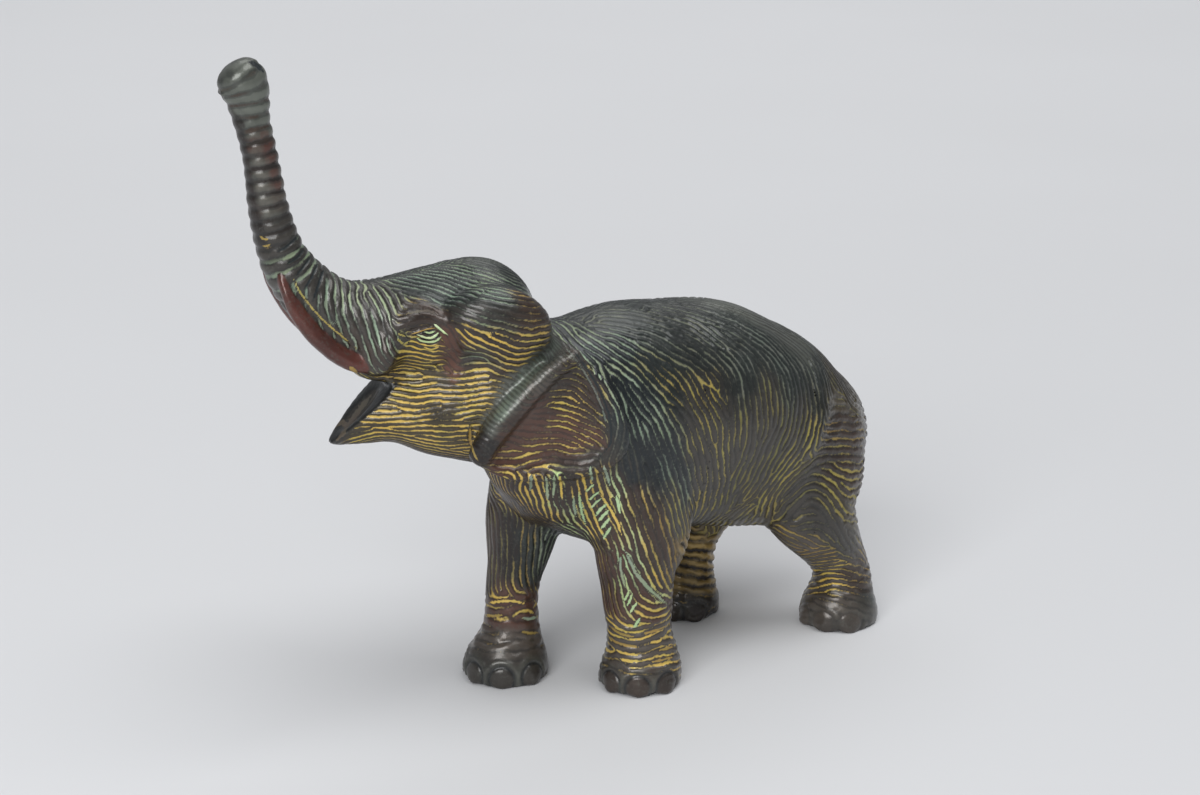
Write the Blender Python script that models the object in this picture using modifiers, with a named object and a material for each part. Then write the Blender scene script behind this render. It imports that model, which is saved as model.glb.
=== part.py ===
import math

import bmesh
import bpy
import numpy as np
from mathutils import Matrix, Vector
from mathutils.bvhtree import BVHTree

# A cast bronze elephant, trunk raised, striding.
# HEIGHT is the driving size, from the soles to the top of the trunk.
# Every other place and size is a share of it, in hundredths of the height,
# measured ahead of the body's middle, to the animal's left, and up from the soles.
HEIGHT = 0.231
SHARE = HEIGHT / 100.0

# The head is a unit of its own, turned to the animal's right about the neck.
HEAD_TURN = math.radians(20.0)
NECK_AHEAD = 21.7

# The right ear lies against a nearer shoulder, so its rim stands out further.
FAR_EAR_FLARE = 5.0

# Voxel sizes of the two modelling steps, and the faces that stay at the end.
BLEND_VOXEL = 0.85
DETAIL_VOXEL = 0.42
BLEND_PASSES = 11
DETAIL_PASSES = 2
FACE_TARGET = 9600

# Ahead of and above this the faces stay closer together: the head and the trunk.
FINE_AHEAD = 26.0
FINE_UP = 34.0
FINE_SHARE = 0.35

# Trunk rings: spacing, swell, and where they fade out towards the forehead and the tip.
RING_PITCH = 1.85
RING_DEPTH = 0.34
RING_START = 14.0
RING_FADE = 8.0
RING_END_MARGIN = 3.0

# Leg wrinkles above the feet: spacing, depth and the band they fill.
WRINKLE_PITCH = 1.7
WRINKLE_DEPTH = 0.30
WRINKLE_BAND = (4.2, 12.2)
WRINKLE_WAVER = 0.35

# Toenails: half width, half height, how proud they stand, and how high their middles are.
NAIL_WIDTH = 1.75
NAIL_HEIGHT = 2.1
NAIL_PROUD = 0.55
NAIL_SINK = 0.35
NAIL_MIDDLE = 1.55

# Body stations: ahead, top, bottom, half width.
TORSO = [
    (-37.5, 33.5, 24.0, 5.0),
    (-35.3, 36.8, 21.5, 8.2),
    (-30.6, 41.2, 19.0, 11.6),
    (-25.0, 45.2, 17.0, 14.0),
    (-18.0, 49.8, 16.8, 15.5),
    (-11.0, 53.2, 18.2, 16.2),
    (-4.0, 56.6, 20.0, 16.2),
    (5.0, 57.9, 21.0, 15.2),
    (14.0, 59.0, 21.6, 14.0),
    (22.0, 57.6, 23.6, 12.6),
    (28.0, 54.0, 27.0, 11.0),
    (32.0, 50.0, 32.0, 7.5),
]

# Leg stations: ahead, left, up, half length, half width.
LEGS = {
    "left_front": [
        (15.5, 7.0, 38.0, 9.0, 6.5), (14.8, 8.0, 29.0, 9.2, 6.9), (14.5, 8.2, 23.5, 8.4, 6.7),
        (15.3, 8.2, 20.4, 6.8, 5.9), (15.1, 8.2, 17.1, 5.9, 5.6), (14.9, 8.2, 13.2, 5.6, 5.5),
        (14.7, 8.2, 10.0, 5.2, 5.1), (14.4, 8.2, 7.0, 5.4, 5.4), (14.1, 8.2, 4.4, 6.2, 6.1),
        (14.2, 8.2, 1.9, 6.8, 6.6), (14.2, 8.2, 0.0, 6.2, 6.0), (14.2, 8.2, -1.5, 5.7, 5.5),
    ],
    "right_front": [
        (20.0, -7.0, 37.0, 8.5, 6.5), (22.6, -8.0, 29.0, 7.4, 6.3), (24.2, -8.2, 24.5, 6.4, 5.6),
        (24.9, -8.2, 20.7, 5.5, 5.3), (25.9, -8.2, 16.8, 4.5, 4.4), (26.6, -8.2, 13.3, 4.3, 4.3),
        (26.7, -8.2, 9.8, 4.45, 4.4), (26.8, -8.2, 7.0, 4.9, 4.8), (27.2, -8.2, 4.4, 6.1, 6.0),
        (27.7, -8.2, 1.9, 7.1, 6.9), (27.7, -8.2, 0.0, 6.6, 6.4), (27.7, -8.2, -1.5, 6.1, 5.9),
    ],
    "left_hind": [
        (-24.0, 7.5, 35.0, 9.2, 6.6), (-22.1, 9.0, 27.0, 9.4, 6.9), (-21.0, 9.6, 21.6, 8.7, 6.5),
        (-23.2, 10.0, 17.0, 6.4, 5.9), (-26.0, 10.0, 12.9, 5.1, 5.0), (-27.5, 10.0, 10.0, 4.8, 4.8),
        (-28.4, 10.0, 7.6, 4.9, 4.9), (-28.2, 10.0, 5.5, 5.5, 5.5), (-27.8, 10.0, 3.4, 6.4, 6.3),
        (-27.8, 10.0, 1.7, 6.8, 6.6), (-27.8, 10.0, 0.0, 6.4, 6.2), (-27.8, 10.0, -1.5, 6.0, 5.8),
    ],
    "right_hind": [
        (-24.0, -7.5, 36.0, 9.5, 6.8), (-18.5, -9.0, 27.0, 9.6, 6.9), (-14.8, -9.4, 20.0, 8.0, 6.3),
        (-12.0, -9.5, 14.5, 5.6, 5.4), (-11.4, -9.4, 10.5, 4.8, 4.8), (-11.2, -9.2, 7.0, 4.8, 4.7),
        (-11.2, -9.2, 4.2, 5.4, 5.3), (-11.2, -9.2, 1.8, 5.8, 5.7), (-11.2, -9.2, 0.0, 5.5, 5.4),
        (-11.2, -9.2, -1.5, 5.1, 5.0),
    ],
}
NAIL_TURNS = {"left_front": (0, 45, -45, 90, -90), "right_front": (0, 45, -45, 90, -90),
              "left_hind": (20, 62, -22, -64), "right_hind": (22, 64, -20, -62)}

# Head stations, in the head's own directions: ahead, up, half width, half depth.
TRUNK = [
    (17.0, 60.0, 9.2, 8.4),
    (22.5, 60.0, 8.6, 7.7),
    (28.5, 60.4, 7.2, 6.5),
    (33.7, 61.4, 6.0, 5.5),
    (37.0, 63.3, 5.1, 4.9),
    (39.4, 65.7, 4.5, 4.4),
    (41.4, 68.3, 4.1, 4.0),
    (42.9, 70.9, 3.6, 3.55),
    (44.1, 74.8, 3.2, 3.2),
    (44.7, 77.6, 3.0, 3.0),
    (45.1, 80.2, 2.8, 2.8),
    (45.3, 82.6, 2.65, 2.7),
    (45.7, 85.8, 2.5, 2.55),
    (46.2, 88.6, 2.5, 2.55),
    (46.7, 91.0, 2.55, 2.65),
    (47.0, 93.1, 2.75, 3.0),
    (47.3, 95.0, 3.1, 3.4),
    (47.8, 96.5, 3.3, 3.65),
    (48.5, 97.7, 3.1, 3.4),
]
JAW = [
    (15.0, 46.0, 8.6, 8.4),
    (21.0, 46.4, 7.8, 7.2),
    (26.5, 47.6, 6.4, 5.8),
    (30.5, 47.4, 5.0, 5.4),
    (33.6, 46.0, 3.6, 4.6),
    (36.0, 44.4, 2.3, 3.2),
    (37.0, 43.2, 1.6, 2.0),
]
# The left tusk: ahead, left, up, radius. The right one is a little longer.
TUSK = [
    (29.6, 3.4, 56.0, 1.3),
    (33.2, 4.3, 55.4, 1.35),
    (36.9, 4.6, 57.4, 1.35),
    (40.0, 4.5, 60.5, 1.3),
    (42.2, 4.3, 63.7, 1.15),
    (43.6, 3.9, 66.6, 0.9),
    (44.3, 3.4, 69.0, 0.4),
]
RIGHT_TUSK_AHEAD = 0.9
RIGHT_TUSK_UP = 1.6

# The wedge that opens the mouth over the jaw's rim: ahead, up.
MOUTH_PROFILE = [(28.2, 51.8), (37.9, 42.6), (46.0, 42.0), (46.0, 53.6), (34.5, 52.9)]
MOUTH_HALF_WIDTH = 9.0


def body_place(ahead, left, up):
    return Vector((-ahead, -left, up))


def head_place(ahead, left, up):
    turned = Matrix.Rotation(-HEAD_TURN, 3, "Z") @ Vector((ahead, left, 0.0))
    return body_place(turned.x + NECK_AHEAD, turned.y, up)


def smooth_path(rows, steps):
    """Catmull-Rom through the rows; every column is interpolated."""
    rows = np.array(rows, float)
    padded = np.vstack([2 * rows[0] - rows[1], rows, 2 * rows[-1] - rows[-2]])
    out = []
    for i in range(1, len(padded) - 2):
        before, start, end, after = padded[i - 1:i + 3]
        for k in range(steps):
            t = k / steps
            out.append(0.5 * (2 * start + (end - before) * t
                              + (2 * before - 5 * start + 4 * end - after) * t ** 2
                              + (3 * start - before - 3 * end + after) * t ** 3))
    out.append(rows[-1])
    return np.array(out)


def add_object(name, mesh_data, group):
    obj = bpy.data.objects.new(name, mesh_data)
    group.objects.link(obj)
    return obj


def loft(name, centres, across, half_across, half_other, group, sides=28, dome=0.6):
    """A closed body through oval sections set square to the line of centres."""
    centres = np.array(centres, float)
    tangents = np.gradient(centres, axis=0)
    tangents /= np.linalg.norm(tangents, axis=1)[:, None]
    rings = [(centres[i], tangents[i], half_across[i], half_other[i]) for i in range(len(centres))]
    for end, sign in ((0, -1.0), (-1, 1.0)):
        point, tangent, ra, rb = rings[end]
        extra = []
        for angle in (0.42, 0.84, 1.22):
            shift = sign * dome * min(ra, rb) * math.sin(angle)
            extra.append((point + tangent * shift, tangent, ra * math.cos(angle), rb * math.cos(angle)))
        rings = extra[::-1] + rings if end == 0 else rings + extra
    bm = bmesh.new()
    loops = []
    for point, tangent, ra, rb in rings:
        a = np.array(across, float) - np.dot(across, tangent) * tangent
        a /= np.linalg.norm(a)
        b = np.cross(tangent, a)
        loop = []
        for k in range(sides):
            angle = 2 * math.pi * k / sides
            loop.append(bm.verts.new(point + a * ra * math.cos(angle) + b * rb * math.sin(angle)))
        loops.append(loop)
    for low, high in zip(loops, loops[1:]):
        for k in range(sides):
            bm.faces.new((low[k], low[(k + 1) % sides], high[(k + 1) % sides], high[k]))
    bm.faces.new(loops[0][::-1])
    bm.faces.new(loops[-1])
    bmesh.ops.recalc_face_normals(bm, faces=bm.faces)
    data = bpy.data.meshes.new(name)
    bm.to_mesh(data)
    bm.free()
    return add_object(name, data, group)


def ball(name, centre, radii, group, directions=None):
    """An ellipsoid whose three half axes lie along the given directions."""
    bm = bmesh.new()
    bmesh.ops.create_uvsphere(bm, u_segments=32, v_segments=18, radius=1.0)
    turn = Matrix.Identity(3) if directions is None else Matrix(directions).transposed()
    scale = Matrix.Diagonal(radii)
    for vert in bm.verts:
        vert.co = Vector(centre) + turn @ (scale @ vert.co)
    bmesh.ops.recalc_face_normals(bm, faces=bm.faces)
    data = bpy.data.meshes.new(name)
    bm.to_mesh(data)
    bm.free()
    return add_object(name, data, group)


def head_directions(pitch=0.0):
    """Ahead, left and up of the head, the first and last tipped up by the pitch."""
    ahead = head_place(1, 0, 0) - head_place(0, 0, 0)
    left = head_place(0, 1, 0) - head_place(0, 0, 0)
    up = Vector((0, 0, 1))
    return (ahead * math.cos(pitch) + up * math.sin(pitch), left,
            up * math.cos(pitch) - ahead * math.sin(pitch))


def head_tube(name, rows, group, sides=20, steps=6, dome=0.7):
    """A round tube through head points: ahead, left, up, radius."""
    path = smooth_path(rows, steps)
    centres = [head_place(*row[:3]) for row in path]
    left = head_directions()[1]
    return loft(name, centres, left, path[:, 3], path[:, 3], group, sides, dome)


def make_torso(group):
    path = smooth_path(TORSO, 5)
    centres = [body_place(a, 0.0, (top + low) / 2) for a, top, low, _ in path]
    return loft("torso", centres, (0, 1, 0), path[:, 3], (path[:, 1] - path[:, 2]) / 2, group, 36, 0.5)


def make_leg(name, rows, group):
    path = smooth_path(rows, 5)
    centres = [body_place(a, l, u) for a, l, u, _, _ in path]
    return loft(name, centres, (1, 0, 0), path[:, 3], path[:, 4], group, 28, 0.5)


def make_head_masses(group):
    level = head_directions()

    def mass(name, place, radii, turn=level):
        return ball(name, head_place(*place), radii, group, turn)

    mass("skull", (15.2, 0.0, 59.5), (9.8, 9.2, 9.3))
    mass("cheek", (13.6, 0.0, 49.5), (13.0, 9.2, 12.2))
    mass("upper_lip", (30.4, 0.0, 56.6), (4.8, 6.2, 4.2))
    path = smooth_path([(a, 0.0, u, w, d) for a, u, w, d in JAW], 5)
    loft("jaw", [head_place(*row[:3]) for row in path], level[1], path[:, 3], path[:, 4], group, 24, 0.6)
    path = smooth_path([(a, 0.0, u, w, d) for a, u, w, d in TRUNK[:9]], 5)
    loft("trunk_core", [head_place(*row[:3]) for row in path], level[1],
         path[:, 3] - 0.2, path[:, 4] - 0.2, group, 24, 0.3)
    for side, word in ((1, "left"), (-1, "right")):
        mass("temple_" + word, (13.6, side * 8.7, 60.6), (8.4, 4.5, 5.8), head_directions(0.3))
        mass("jowl_" + word, (11.5, side * 5.2, 51.5), (9.5, 6.0, 9.0), head_directions(-0.5))
        mass("brow_" + word, (25.5, side * 6.2, 62.0), (4.6, 2.4, 2.4), head_directions(-0.1))
        mass("cheek_fold_" + word, (29.6, side * 5.6, 58.0), (2.8, 2.5, 4.2), head_directions(0.5))
    neck = smooth_path([(8.0, 0.0, 42.0, 12.5, 15.0), (18.0, 0.0, 44.5, 12.2, 14.0),
                        (26.0, -1.0, 46.5, 11.2, 12.0), (33.0, -3.5, 49.0, 9.4, 10.5)], 5)
    loft("neck", [body_place(*row[:3]) for row in neck], (0, 1, 0), neck[:, 3], neck[:, 4], group, 28, 0.5)


def make_trunk(group):
    """The trunk with its rings, which fade out towards the forehead."""
    path = smooth_path([(a, 0.0, u, w, d) for a, u, w, d in TRUNK], 24)
    steps = np.linalg.norm(np.diff(path[:, :3], axis=0), axis=1)
    along = np.concatenate([[0.0], np.cumsum(steps)])
    count = int(along[-1] / 0.3)
    even = np.linspace(0.0, along[-1], count)
    path = np.column_stack([np.interp(even, along, path[:, k]) for k in range(5)])
    fade = np.clip((even - RING_START) / RING_FADE, 0.0, 1.0)
    fade *= np.clip((along[-1] - RING_END_MARGIN - even) / 1.5, 0.0, 1.0)
    ring = np.abs(np.sin(math.pi * even / RING_PITCH)) - 0.6
    swell = RING_DEPTH * fade * ring
    centres = [head_place(*row[:3]) for row in path]
    return loft("trunk", centres, head_directions()[1], path[:, 3] + swell, path[:, 4] + swell, group, 40, 0.55)


def make_tusks(group):
    head_tube("tusk_left", TUSK, group)
    last = len(TUSK) - 1
    longer = [(a + RIGHT_TUSK_AHEAD * i / last, -l, u + RIGHT_TUSK_UP * i / last, r)
              for i, (a, l, u, r) in enumerate(TUSK)]
    head_tube("tusk_right", longer, group)


def make_ear(side, flare, group):
    """A dished flap between a rolled front ridge and a curled rim that stands out by the flare."""
    word = "left" if side > 0 else "right"
    ridge = [(3.2, 12.2, 56.0), (7.3, 12.1, 53.6), (11.5, 11.7, 49.8), (14.4, 11.0, 46.4), (16.4, 10.4, 43.6),
             (17.3, 9.8, 41.4)]
    rim = [(2.0, 12.6, 54.6), (-1.2, 14.0, 50.6), (-3.0, 14.6, 45.6), (-3.2, 14.4, 41.9), (-0.4, 13.2, 38.9),
           (6.2, 11.6, 37.8), (13.0, 10.4, 38.3), (17.4, 9.4, 40.8)]
    ridge_path = smooth_path(ridge, 8)
    rim_path = smooth_path(rim, 8)
    rim_path[:, 1] += flare * np.sin(np.linspace(0.0, math.pi, len(rim_path))) ** 0.6
    rows, columns = 30, 16
    bm = bmesh.new()
    grid = []
    for i in range(rows + 1):
        u = i / rows
        start = np.array([np.interp(u * (len(ridge_path) - 1), range(len(ridge_path)), ridge_path[:, k])
                          for k in range(3)])
        end = np.array([np.interp(u * (len(rim_path) - 1), range(len(rim_path)), rim_path[:, k])
                        for k in range(3)])
        line = []
        for j in range(columns + 1):
            v = j / columns
            point = start * (1 - v) + end * v
            dish = 1.8 * math.sin(math.pi * v) * math.sin(math.pi * min(max(u, 0.02), 0.98)) ** 0.5
            line.append(bm.verts.new(head_place(point[0], side * (point[1] - dish), point[2])))
        grid.append(line)
    for low, high in zip(grid, grid[1:]):
        for j in range(columns):
            bm.faces.new((low[j], low[j + 1], high[j + 1], high[j]))
    bmesh.ops.recalc_face_normals(bm, faces=bm.faces)
    data = bpy.data.meshes.new("ear_flap_" + word)
    bm.to_mesh(data)
    bm.free()
    flap = add_object("ear_flap_" + word, data, group)
    shell = flap.modifiers.new("thickness", "SOLIDIFY")
    shell.thickness = 1.7
    shell.offset = 0.0
    for part, rows_in, thick in (("ridge", ridge_path, (1.3, 2.0, 1.9)), ("rim", rim_path, (0.7, 1.05, 0.9))):
        share = np.linspace(0.0, 1.0, len(rows_in))
        radius = np.interp(share, (0.0, 0.5, 1.0), thick)
        centres = [head_place(row[0], side * row[1], row[2]) for row in rows_in]
        loft("ear_%s_%s" % (part, word), centres, head_directions()[1], radius, radius, group, 16, 0.7)


def make_nails(group):
    for leg, rows in LEGS.items():
        ahead, left, _, half_length, half_width = rows[-2]
        for turn in NAIL_TURNS[leg]:
            angle = math.radians(turn)
            out = Vector((-math.cos(angle), -math.sin(angle), 0.0))
            aside = Vector((-out.y, out.x, 0.0))
            centre = body_place(ahead, left, NAIL_MIDDLE)
            centre += Vector((out.x * (half_length - NAIL_SINK), out.y * (half_width - NAIL_SINK), 0.0))
            lean = (out + Vector((0, 0, 0.25))).normalized()
            rise = lean.cross(aside).normalized()
            ball("nail_%s_%d" % (leg, turn), centre, (NAIL_PROUD + NAIL_SINK, NAIL_WIDTH, NAIL_HEIGHT), group,
                 (lean, aside, rise))


def make_tail(group):
    rows = [(-34.0, -0.6, 37.0, 1.8), (-37.8, -1.2, 34.6, 1.5), (-39.9, -1.8, 29.5, 1.2),
            (-39.6, -2.2, 23.0, 1.1), (-38.4, -2.4, 17.5, 1.1), (-37.8, -2.4, 13.6, 1.5), (-37.4, -2.4, 10.2, 0.9)]
    path = smooth_path(rows, 6)
    return loft("tail", [body_place(*row[:3]) for row in path], (0, 1, 0), path[:, 3], path[:, 3], group, 16, 0.8)


def cut_mouth(body, cutters):
    """Open the mouth: a wedge over the jaw's rim, a dished jaw and a hollow behind it."""
    bm = bmesh.new()
    ends = []
    for side in (1, -1):
        ends.append([bm.verts.new(head_place(a, side * MOUTH_HALF_WIDTH, u)) for a, u in MOUTH_PROFILE])
    bm.faces.new(ends[0])
    bm.faces.new(ends[1][::-1])
    for k in range(len(MOUTH_PROFILE)):
        after = (k + 1) % len(MOUTH_PROFILE)
        bm.faces.new((ends[0][k], ends[1][k], ends[1][after], ends[0][after]))
    bmesh.ops.recalc_face_normals(bm, faces=bm.faces)
    data = bpy.data.meshes.new("mouth_wedge")
    bm.to_mesh(data)
    bm.free()
    rim_pitch = math.atan2(MOUTH_PROFILE[1][1] - MOUTH_PROFILE[0][1], MOUTH_PROFILE[1][0] - MOUTH_PROFILE[0][0])
    tools = [add_object("mouth_wedge", data, cutters),
             ball("jaw_dish", head_place(33.4, 0, 48.4), (5.2, 2.5, 2.2), cutters, head_directions(rim_pitch)),
             ball("throat_hollow", head_place(28.6, 0, 51.3), (4.2, 3.4, 1.9), cutters, head_directions(-0.15))]
    for tool in tools:
        tool.hide_render = True
        tool.display_type = "WIRE"
        cut = body.modifiers.new(tool.name, "BOOLEAN")
        cut.operation = "DIFFERENCE"
        cut.object = tool
    return evaluated_copy(body, "open_body", body.users_collection[0])


def lay_on_skin(tree, name, points, radius, sink, group):
    """A rounded fold along head points, dropped on the skin from the side."""
    side = 1.0 if points[0][1] > 0 else -1.0
    inward = head_place(0, -side, 0) - head_place(0, 0, 0)
    centres = []
    for ahead, _, up in smooth_path(points, 6):
        hit = tree.ray_cast(head_place(ahead, side * 30.0, up), inward)[0]
        centres.append(hit + inward * sink)
    share = np.linspace(0.0, math.pi, len(centres))
    radii = radius * (0.45 + 0.55 * np.sin(share))
    return loft(name, centres, inward, radii, radii, group, 14, 0.8)


def make_eyes(body, group):
    tree = BVHTree.FromObject(body, bpy.context.evaluated_depsgraph_get())
    for side, word in ((1.0, "left"), (-1.0, "right")):
        brow = [(29.8, side, 62.3), (28.2, side, 63.9), (25.8, side, 64.4), (23.6, side, 63.7),
                (22.1, side, 62.0), (21.4, side, 59.9)]
        lay_on_skin(tree, "brow_fold_" + word, brow, 0.75, 0.2, group)
        lid = [(26.6, side, 60.0), (25.2, side, 60.7), (23.8, side, 60.7), (22.2, side, 60.1)]
        lay_on_skin(tree, "upper_lid_" + word, lid, 0.5, 0.1, group)
        bag = [(26.6, side, 60.0), (25.4, side, 58.9), (23.8, side, 58.7), (22.2, side, 59.9)]
        lay_on_skin(tree, "lower_lid_" + word, bag, 0.5, 0.15, group)
        fold = [(29.6, side, 60.6), (29.6, side, 58.0), (30.4, side, 55.6), (32.0, side, 53.8)]
        lay_on_skin(tree, "muzzle_fold_" + word, fold, 1.1, 0.5, group)


def evaluated_copy(obj, name, group):
    """A plain mesh object from what the modifiers make of obj."""
    graph = bpy.context.evaluated_depsgraph_get()
    data = bpy.data.meshes.new_from_object(obj.evaluated_get(graph))
    return add_object(name, data, group)


def fuse(name, sources, voxel, passes, group):
    """Join the sources into one skin with a voxel remesh, then soften it."""
    bm = bmesh.new()
    graph = bpy.context.evaluated_depsgraph_get()
    for obj in sources:
        data = bpy.data.meshes.new_from_object(obj.evaluated_get(graph))
        bm.from_mesh(data)
        bpy.data.meshes.remove(data)
    data = bpy.data.meshes.new(name)
    bm.to_mesh(data)
    bm.free()
    obj = add_object(name, data, group)
    remesh = obj.modifiers.new("skin", "REMESH")
    remesh.mode = "VOXEL"
    remesh.voxel_size = voxel
    soften = obj.modifiers.new("soften", "SMOOTH")
    soften.factor = 0.5
    soften.iterations = passes
    skin = evaluated_copy(obj, name + "_skin", group)
    bpy.data.objects.remove(obj)
    for old in sources:
        bpy.data.objects.remove(old)
    return skin


def carve_legs(obj):
    """Horizontal wrinkles round each leg above the foot."""
    mesh = obj.data
    count = len(mesh.vertices)
    co = np.empty(count * 3)
    mesh.vertices.foreach_get("co", co)
    co = co.reshape(-1, 3)
    normals = np.empty(count * 3)
    mesh.vertex_normals.foreach_get("vector", normals)
    normals = normals.reshape(-1, 3)
    up = co[:, 2]
    low, high = WRINKLE_BAND
    band = np.clip((up - low) / 1.2, 0, 1) * np.clip((high - up) / 2.5, 0, 1)
    waver = WRINKLE_WAVER * np.sin(co[:, 0] * 0.9)
    wave = np.abs(np.sin(math.pi * (up + waver) / WRINKLE_PITCH)) - 0.75
    co += normals * (WRINKLE_DEPTH * band * wave)[:, None]
    mesh.vertices.foreach_set("co", co.ravel())
    mesh.update()


def thin_out(obj, group):
    """Collapse to the face target; the head and the trunk keep a finer share."""
    mesh = obj.data
    weights = obj.vertex_groups.new(name="coarse")
    for vert in mesh.vertices:
        fine = -vert.co.x > FINE_AHEAD and vert.co.z > FINE_UP
        weights.add([vert.index], FINE_SHARE if fine else 1.0, "REPLACE")
    mesh.calc_loop_triangles()
    faces = len(mesh.loop_triangles)
    thin = obj.modifiers.new("thin", "DECIMATE")
    thin.ratio = FACE_TARGET / faces
    thin.vertex_group = "coarse"
    thin.vertex_group_factor = 0.6
    coarse = evaluated_copy(obj, "coarse", group)
    bpy.data.objects.remove(obj)
    return coarse


def cut_soles(obj):
    """Cut the feet off flat at the ground and close them."""
    bm = bmesh.new()
    bm.from_mesh(obj.data)
    cut = bmesh.ops.bisect_plane(bm, geom=bm.verts[:] + bm.edges[:] + bm.faces[:], dist=0.0001,
                                 plane_co=(0, 0, 0), plane_no=(0, 0, 1), clear_inner=True)
    edges = [item for item in cut["geom_cut"] if isinstance(item, bmesh.types.BMEdge)]
    bmesh.ops.edgeloop_fill(bm, edges=edges)
    bmesh.ops.triangulate(bm, faces=bm.faces)
    bmesh.ops.recalc_face_normals(bm, faces=bm.faces)
    bm.to_mesh(obj.data)
    bm.free()


def bronze_material():
    bronze = bpy.data.materials.new("patinated_bronze")
    bronze.use_nodes = True
    shader = bronze.node_tree.nodes["Principled BSDF"]
    shader.inputs["Base Color"].default_value = (0.045, 0.034, 0.024, 1.0)
    shader.inputs["Metallic"].default_value = 0.55
    shader.inputs["Roughness"].default_value = 0.38
    return bronze


def main():
    for old in list(bpy.data.objects):
        bpy.data.objects.remove(old)
    work = bpy.data.collections.new("elephant_masses")
    final = bpy.data.collections.new("bronze_elephant")
    cutters = bpy.data.collections.new("cutters")
    for group in (work, final, cutters):
        bpy.context.scene.collection.children.link(group)

    make_torso(work)
    for leg, rows in LEGS.items():
        make_leg(leg, rows, work)
    make_head_masses(work)
    skin = fuse("body", list(work.objects), BLEND_VOXEL, BLEND_PASSES, work)
    body = cut_mouth(skin, cutters)
    bpy.data.objects.remove(skin)

    make_eyes(body, work)
    make_trunk(work)
    make_tusks(work)
    make_ear(1, 0.0, work)
    make_ear(-1, FAR_EAR_FLARE, work)
    make_nails(work)
    make_tail(work)
    whole = fuse("whole", list(work.objects), DETAIL_VOXEL, DETAIL_PASSES, work)
    carve_legs(whole)
    coarse = thin_out(whole, work)
    cut_soles(coarse)
    print("faces", len(coarse.data.polygons))

    data = coarse.data
    data.transform(Matrix.Scale(SHARE, 4))
    low = Vector([min(v.co[k] for v in data.vertices) for k in range(3)])
    high = Vector([max(v.co[k] for v in data.vertices) for k in range(3)])
    data.transform(Matrix.Translation((-(low.x + high.x) / 2, -(low.y + high.y) / 2, -low.z)))
    print("box", [round(v, 4) for v in low], [round(v, 4) for v in high])
    data.name = "bronze_elephant"
    data.shade_smooth()
    data.set_sharp_from_angle(angle=math.radians(50.0))
    data.materials.clear()
    data.materials.append(bronze_material())
    add_object("bronze_elephant", data, final)
    bpy.data.objects.remove(coarse)
    bpy.data.collections.remove(work)


main()
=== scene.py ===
import math

import bmesh
import bpy
import numpy as np
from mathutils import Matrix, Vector
from mathutils.bvhtree import BVHTree
from mathutils.kdtree import KDTree


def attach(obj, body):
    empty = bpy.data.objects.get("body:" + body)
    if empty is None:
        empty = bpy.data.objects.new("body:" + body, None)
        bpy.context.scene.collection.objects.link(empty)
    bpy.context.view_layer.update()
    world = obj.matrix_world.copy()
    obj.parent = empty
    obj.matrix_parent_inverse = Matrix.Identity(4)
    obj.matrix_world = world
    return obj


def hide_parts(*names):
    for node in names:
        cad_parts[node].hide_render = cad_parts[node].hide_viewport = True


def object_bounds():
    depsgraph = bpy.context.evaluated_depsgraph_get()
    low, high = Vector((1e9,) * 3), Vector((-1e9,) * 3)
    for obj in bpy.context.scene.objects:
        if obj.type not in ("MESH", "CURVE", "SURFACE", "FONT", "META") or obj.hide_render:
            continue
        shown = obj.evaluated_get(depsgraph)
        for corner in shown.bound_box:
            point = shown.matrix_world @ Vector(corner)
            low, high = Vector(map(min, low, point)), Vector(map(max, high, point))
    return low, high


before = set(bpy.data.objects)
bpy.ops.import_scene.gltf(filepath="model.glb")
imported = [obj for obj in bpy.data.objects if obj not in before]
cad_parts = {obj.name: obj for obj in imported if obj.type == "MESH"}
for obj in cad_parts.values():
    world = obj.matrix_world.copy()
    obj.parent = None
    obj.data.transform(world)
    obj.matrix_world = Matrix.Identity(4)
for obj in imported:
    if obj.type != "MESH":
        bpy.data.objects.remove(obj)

cadLow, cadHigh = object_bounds()
mm = 0.001


def report(text):
    print("elephant:", text, flush=True)


# Patina colours as seen in the photograph, in 8-bit sRGB.
# Stone and the bright red brown also serve as painted sheen and highlight.
patina = {
    "night": (25, 33, 37),
    "throat": (30, 32, 33),
    "blackGreen": (38, 45, 42),
    "slate": (66, 62, 57),
    "stone": (104, 108, 100),
    "verdigris": (126, 140, 124),
    "paleVerdigris": (152, 166, 144),
    "mint": (186, 208, 160),
    "paleMint": (206, 222, 182),
    "olive": (124, 116, 72),
    "oliveGold": (168, 152, 84),
    "gold": (212, 182, 94),
    "goldBrown": (164, 136, 74),
    "umber": (62, 48, 40),
    "darkUmber": (34, 25, 21),
    "redBrown": (86, 58, 47),
    # Red brown made bright enough to carry a painted sheen, behind the eye.
    "oxblood": (96, 52, 43),
    "rustWithSheen": (118, 74, 56),
    "warmGrey": (88, 80, 73),
    "oliveBrown": (76, 66, 46),
}


# Linear light from 8-bit sRGB.
def linear(rgb):
    c = np.array(rgb, float) / 255.0
    return np.where(c <= 0.04045, c / 12.92, ((c + 0.055) / 1.055) ** 2.4)


# Colours drawn toward a patina, by each point's share.
def toward(colours, tint, share):
    return colours + (linear(patina[tint]) - colours) * share[:, None]


def unit(vectors):
    return vectors / np.maximum(np.linalg.norm(vectors, axis=-1, keepdims=True), 1e-12)


def smoothStep(value, low, high):
    t = np.clip((value - low) / (high - low), 0, 1)
    return t * t * (3 - 2 * t)


# The photograph's camera in the part's frame; pixels below are in its 1200 x 795 picture.
photoCamera = {
    "width": 1200,
    "height": 795,
    "lens": 75.0,
    "sensor": 36.0,
    "turn": math.radians(-40.5),
    "tilt": math.radians(17.0),
    "aim": (0.01094, 0.01156, 0.09655),
    "distance": 0.9004,
}


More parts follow.
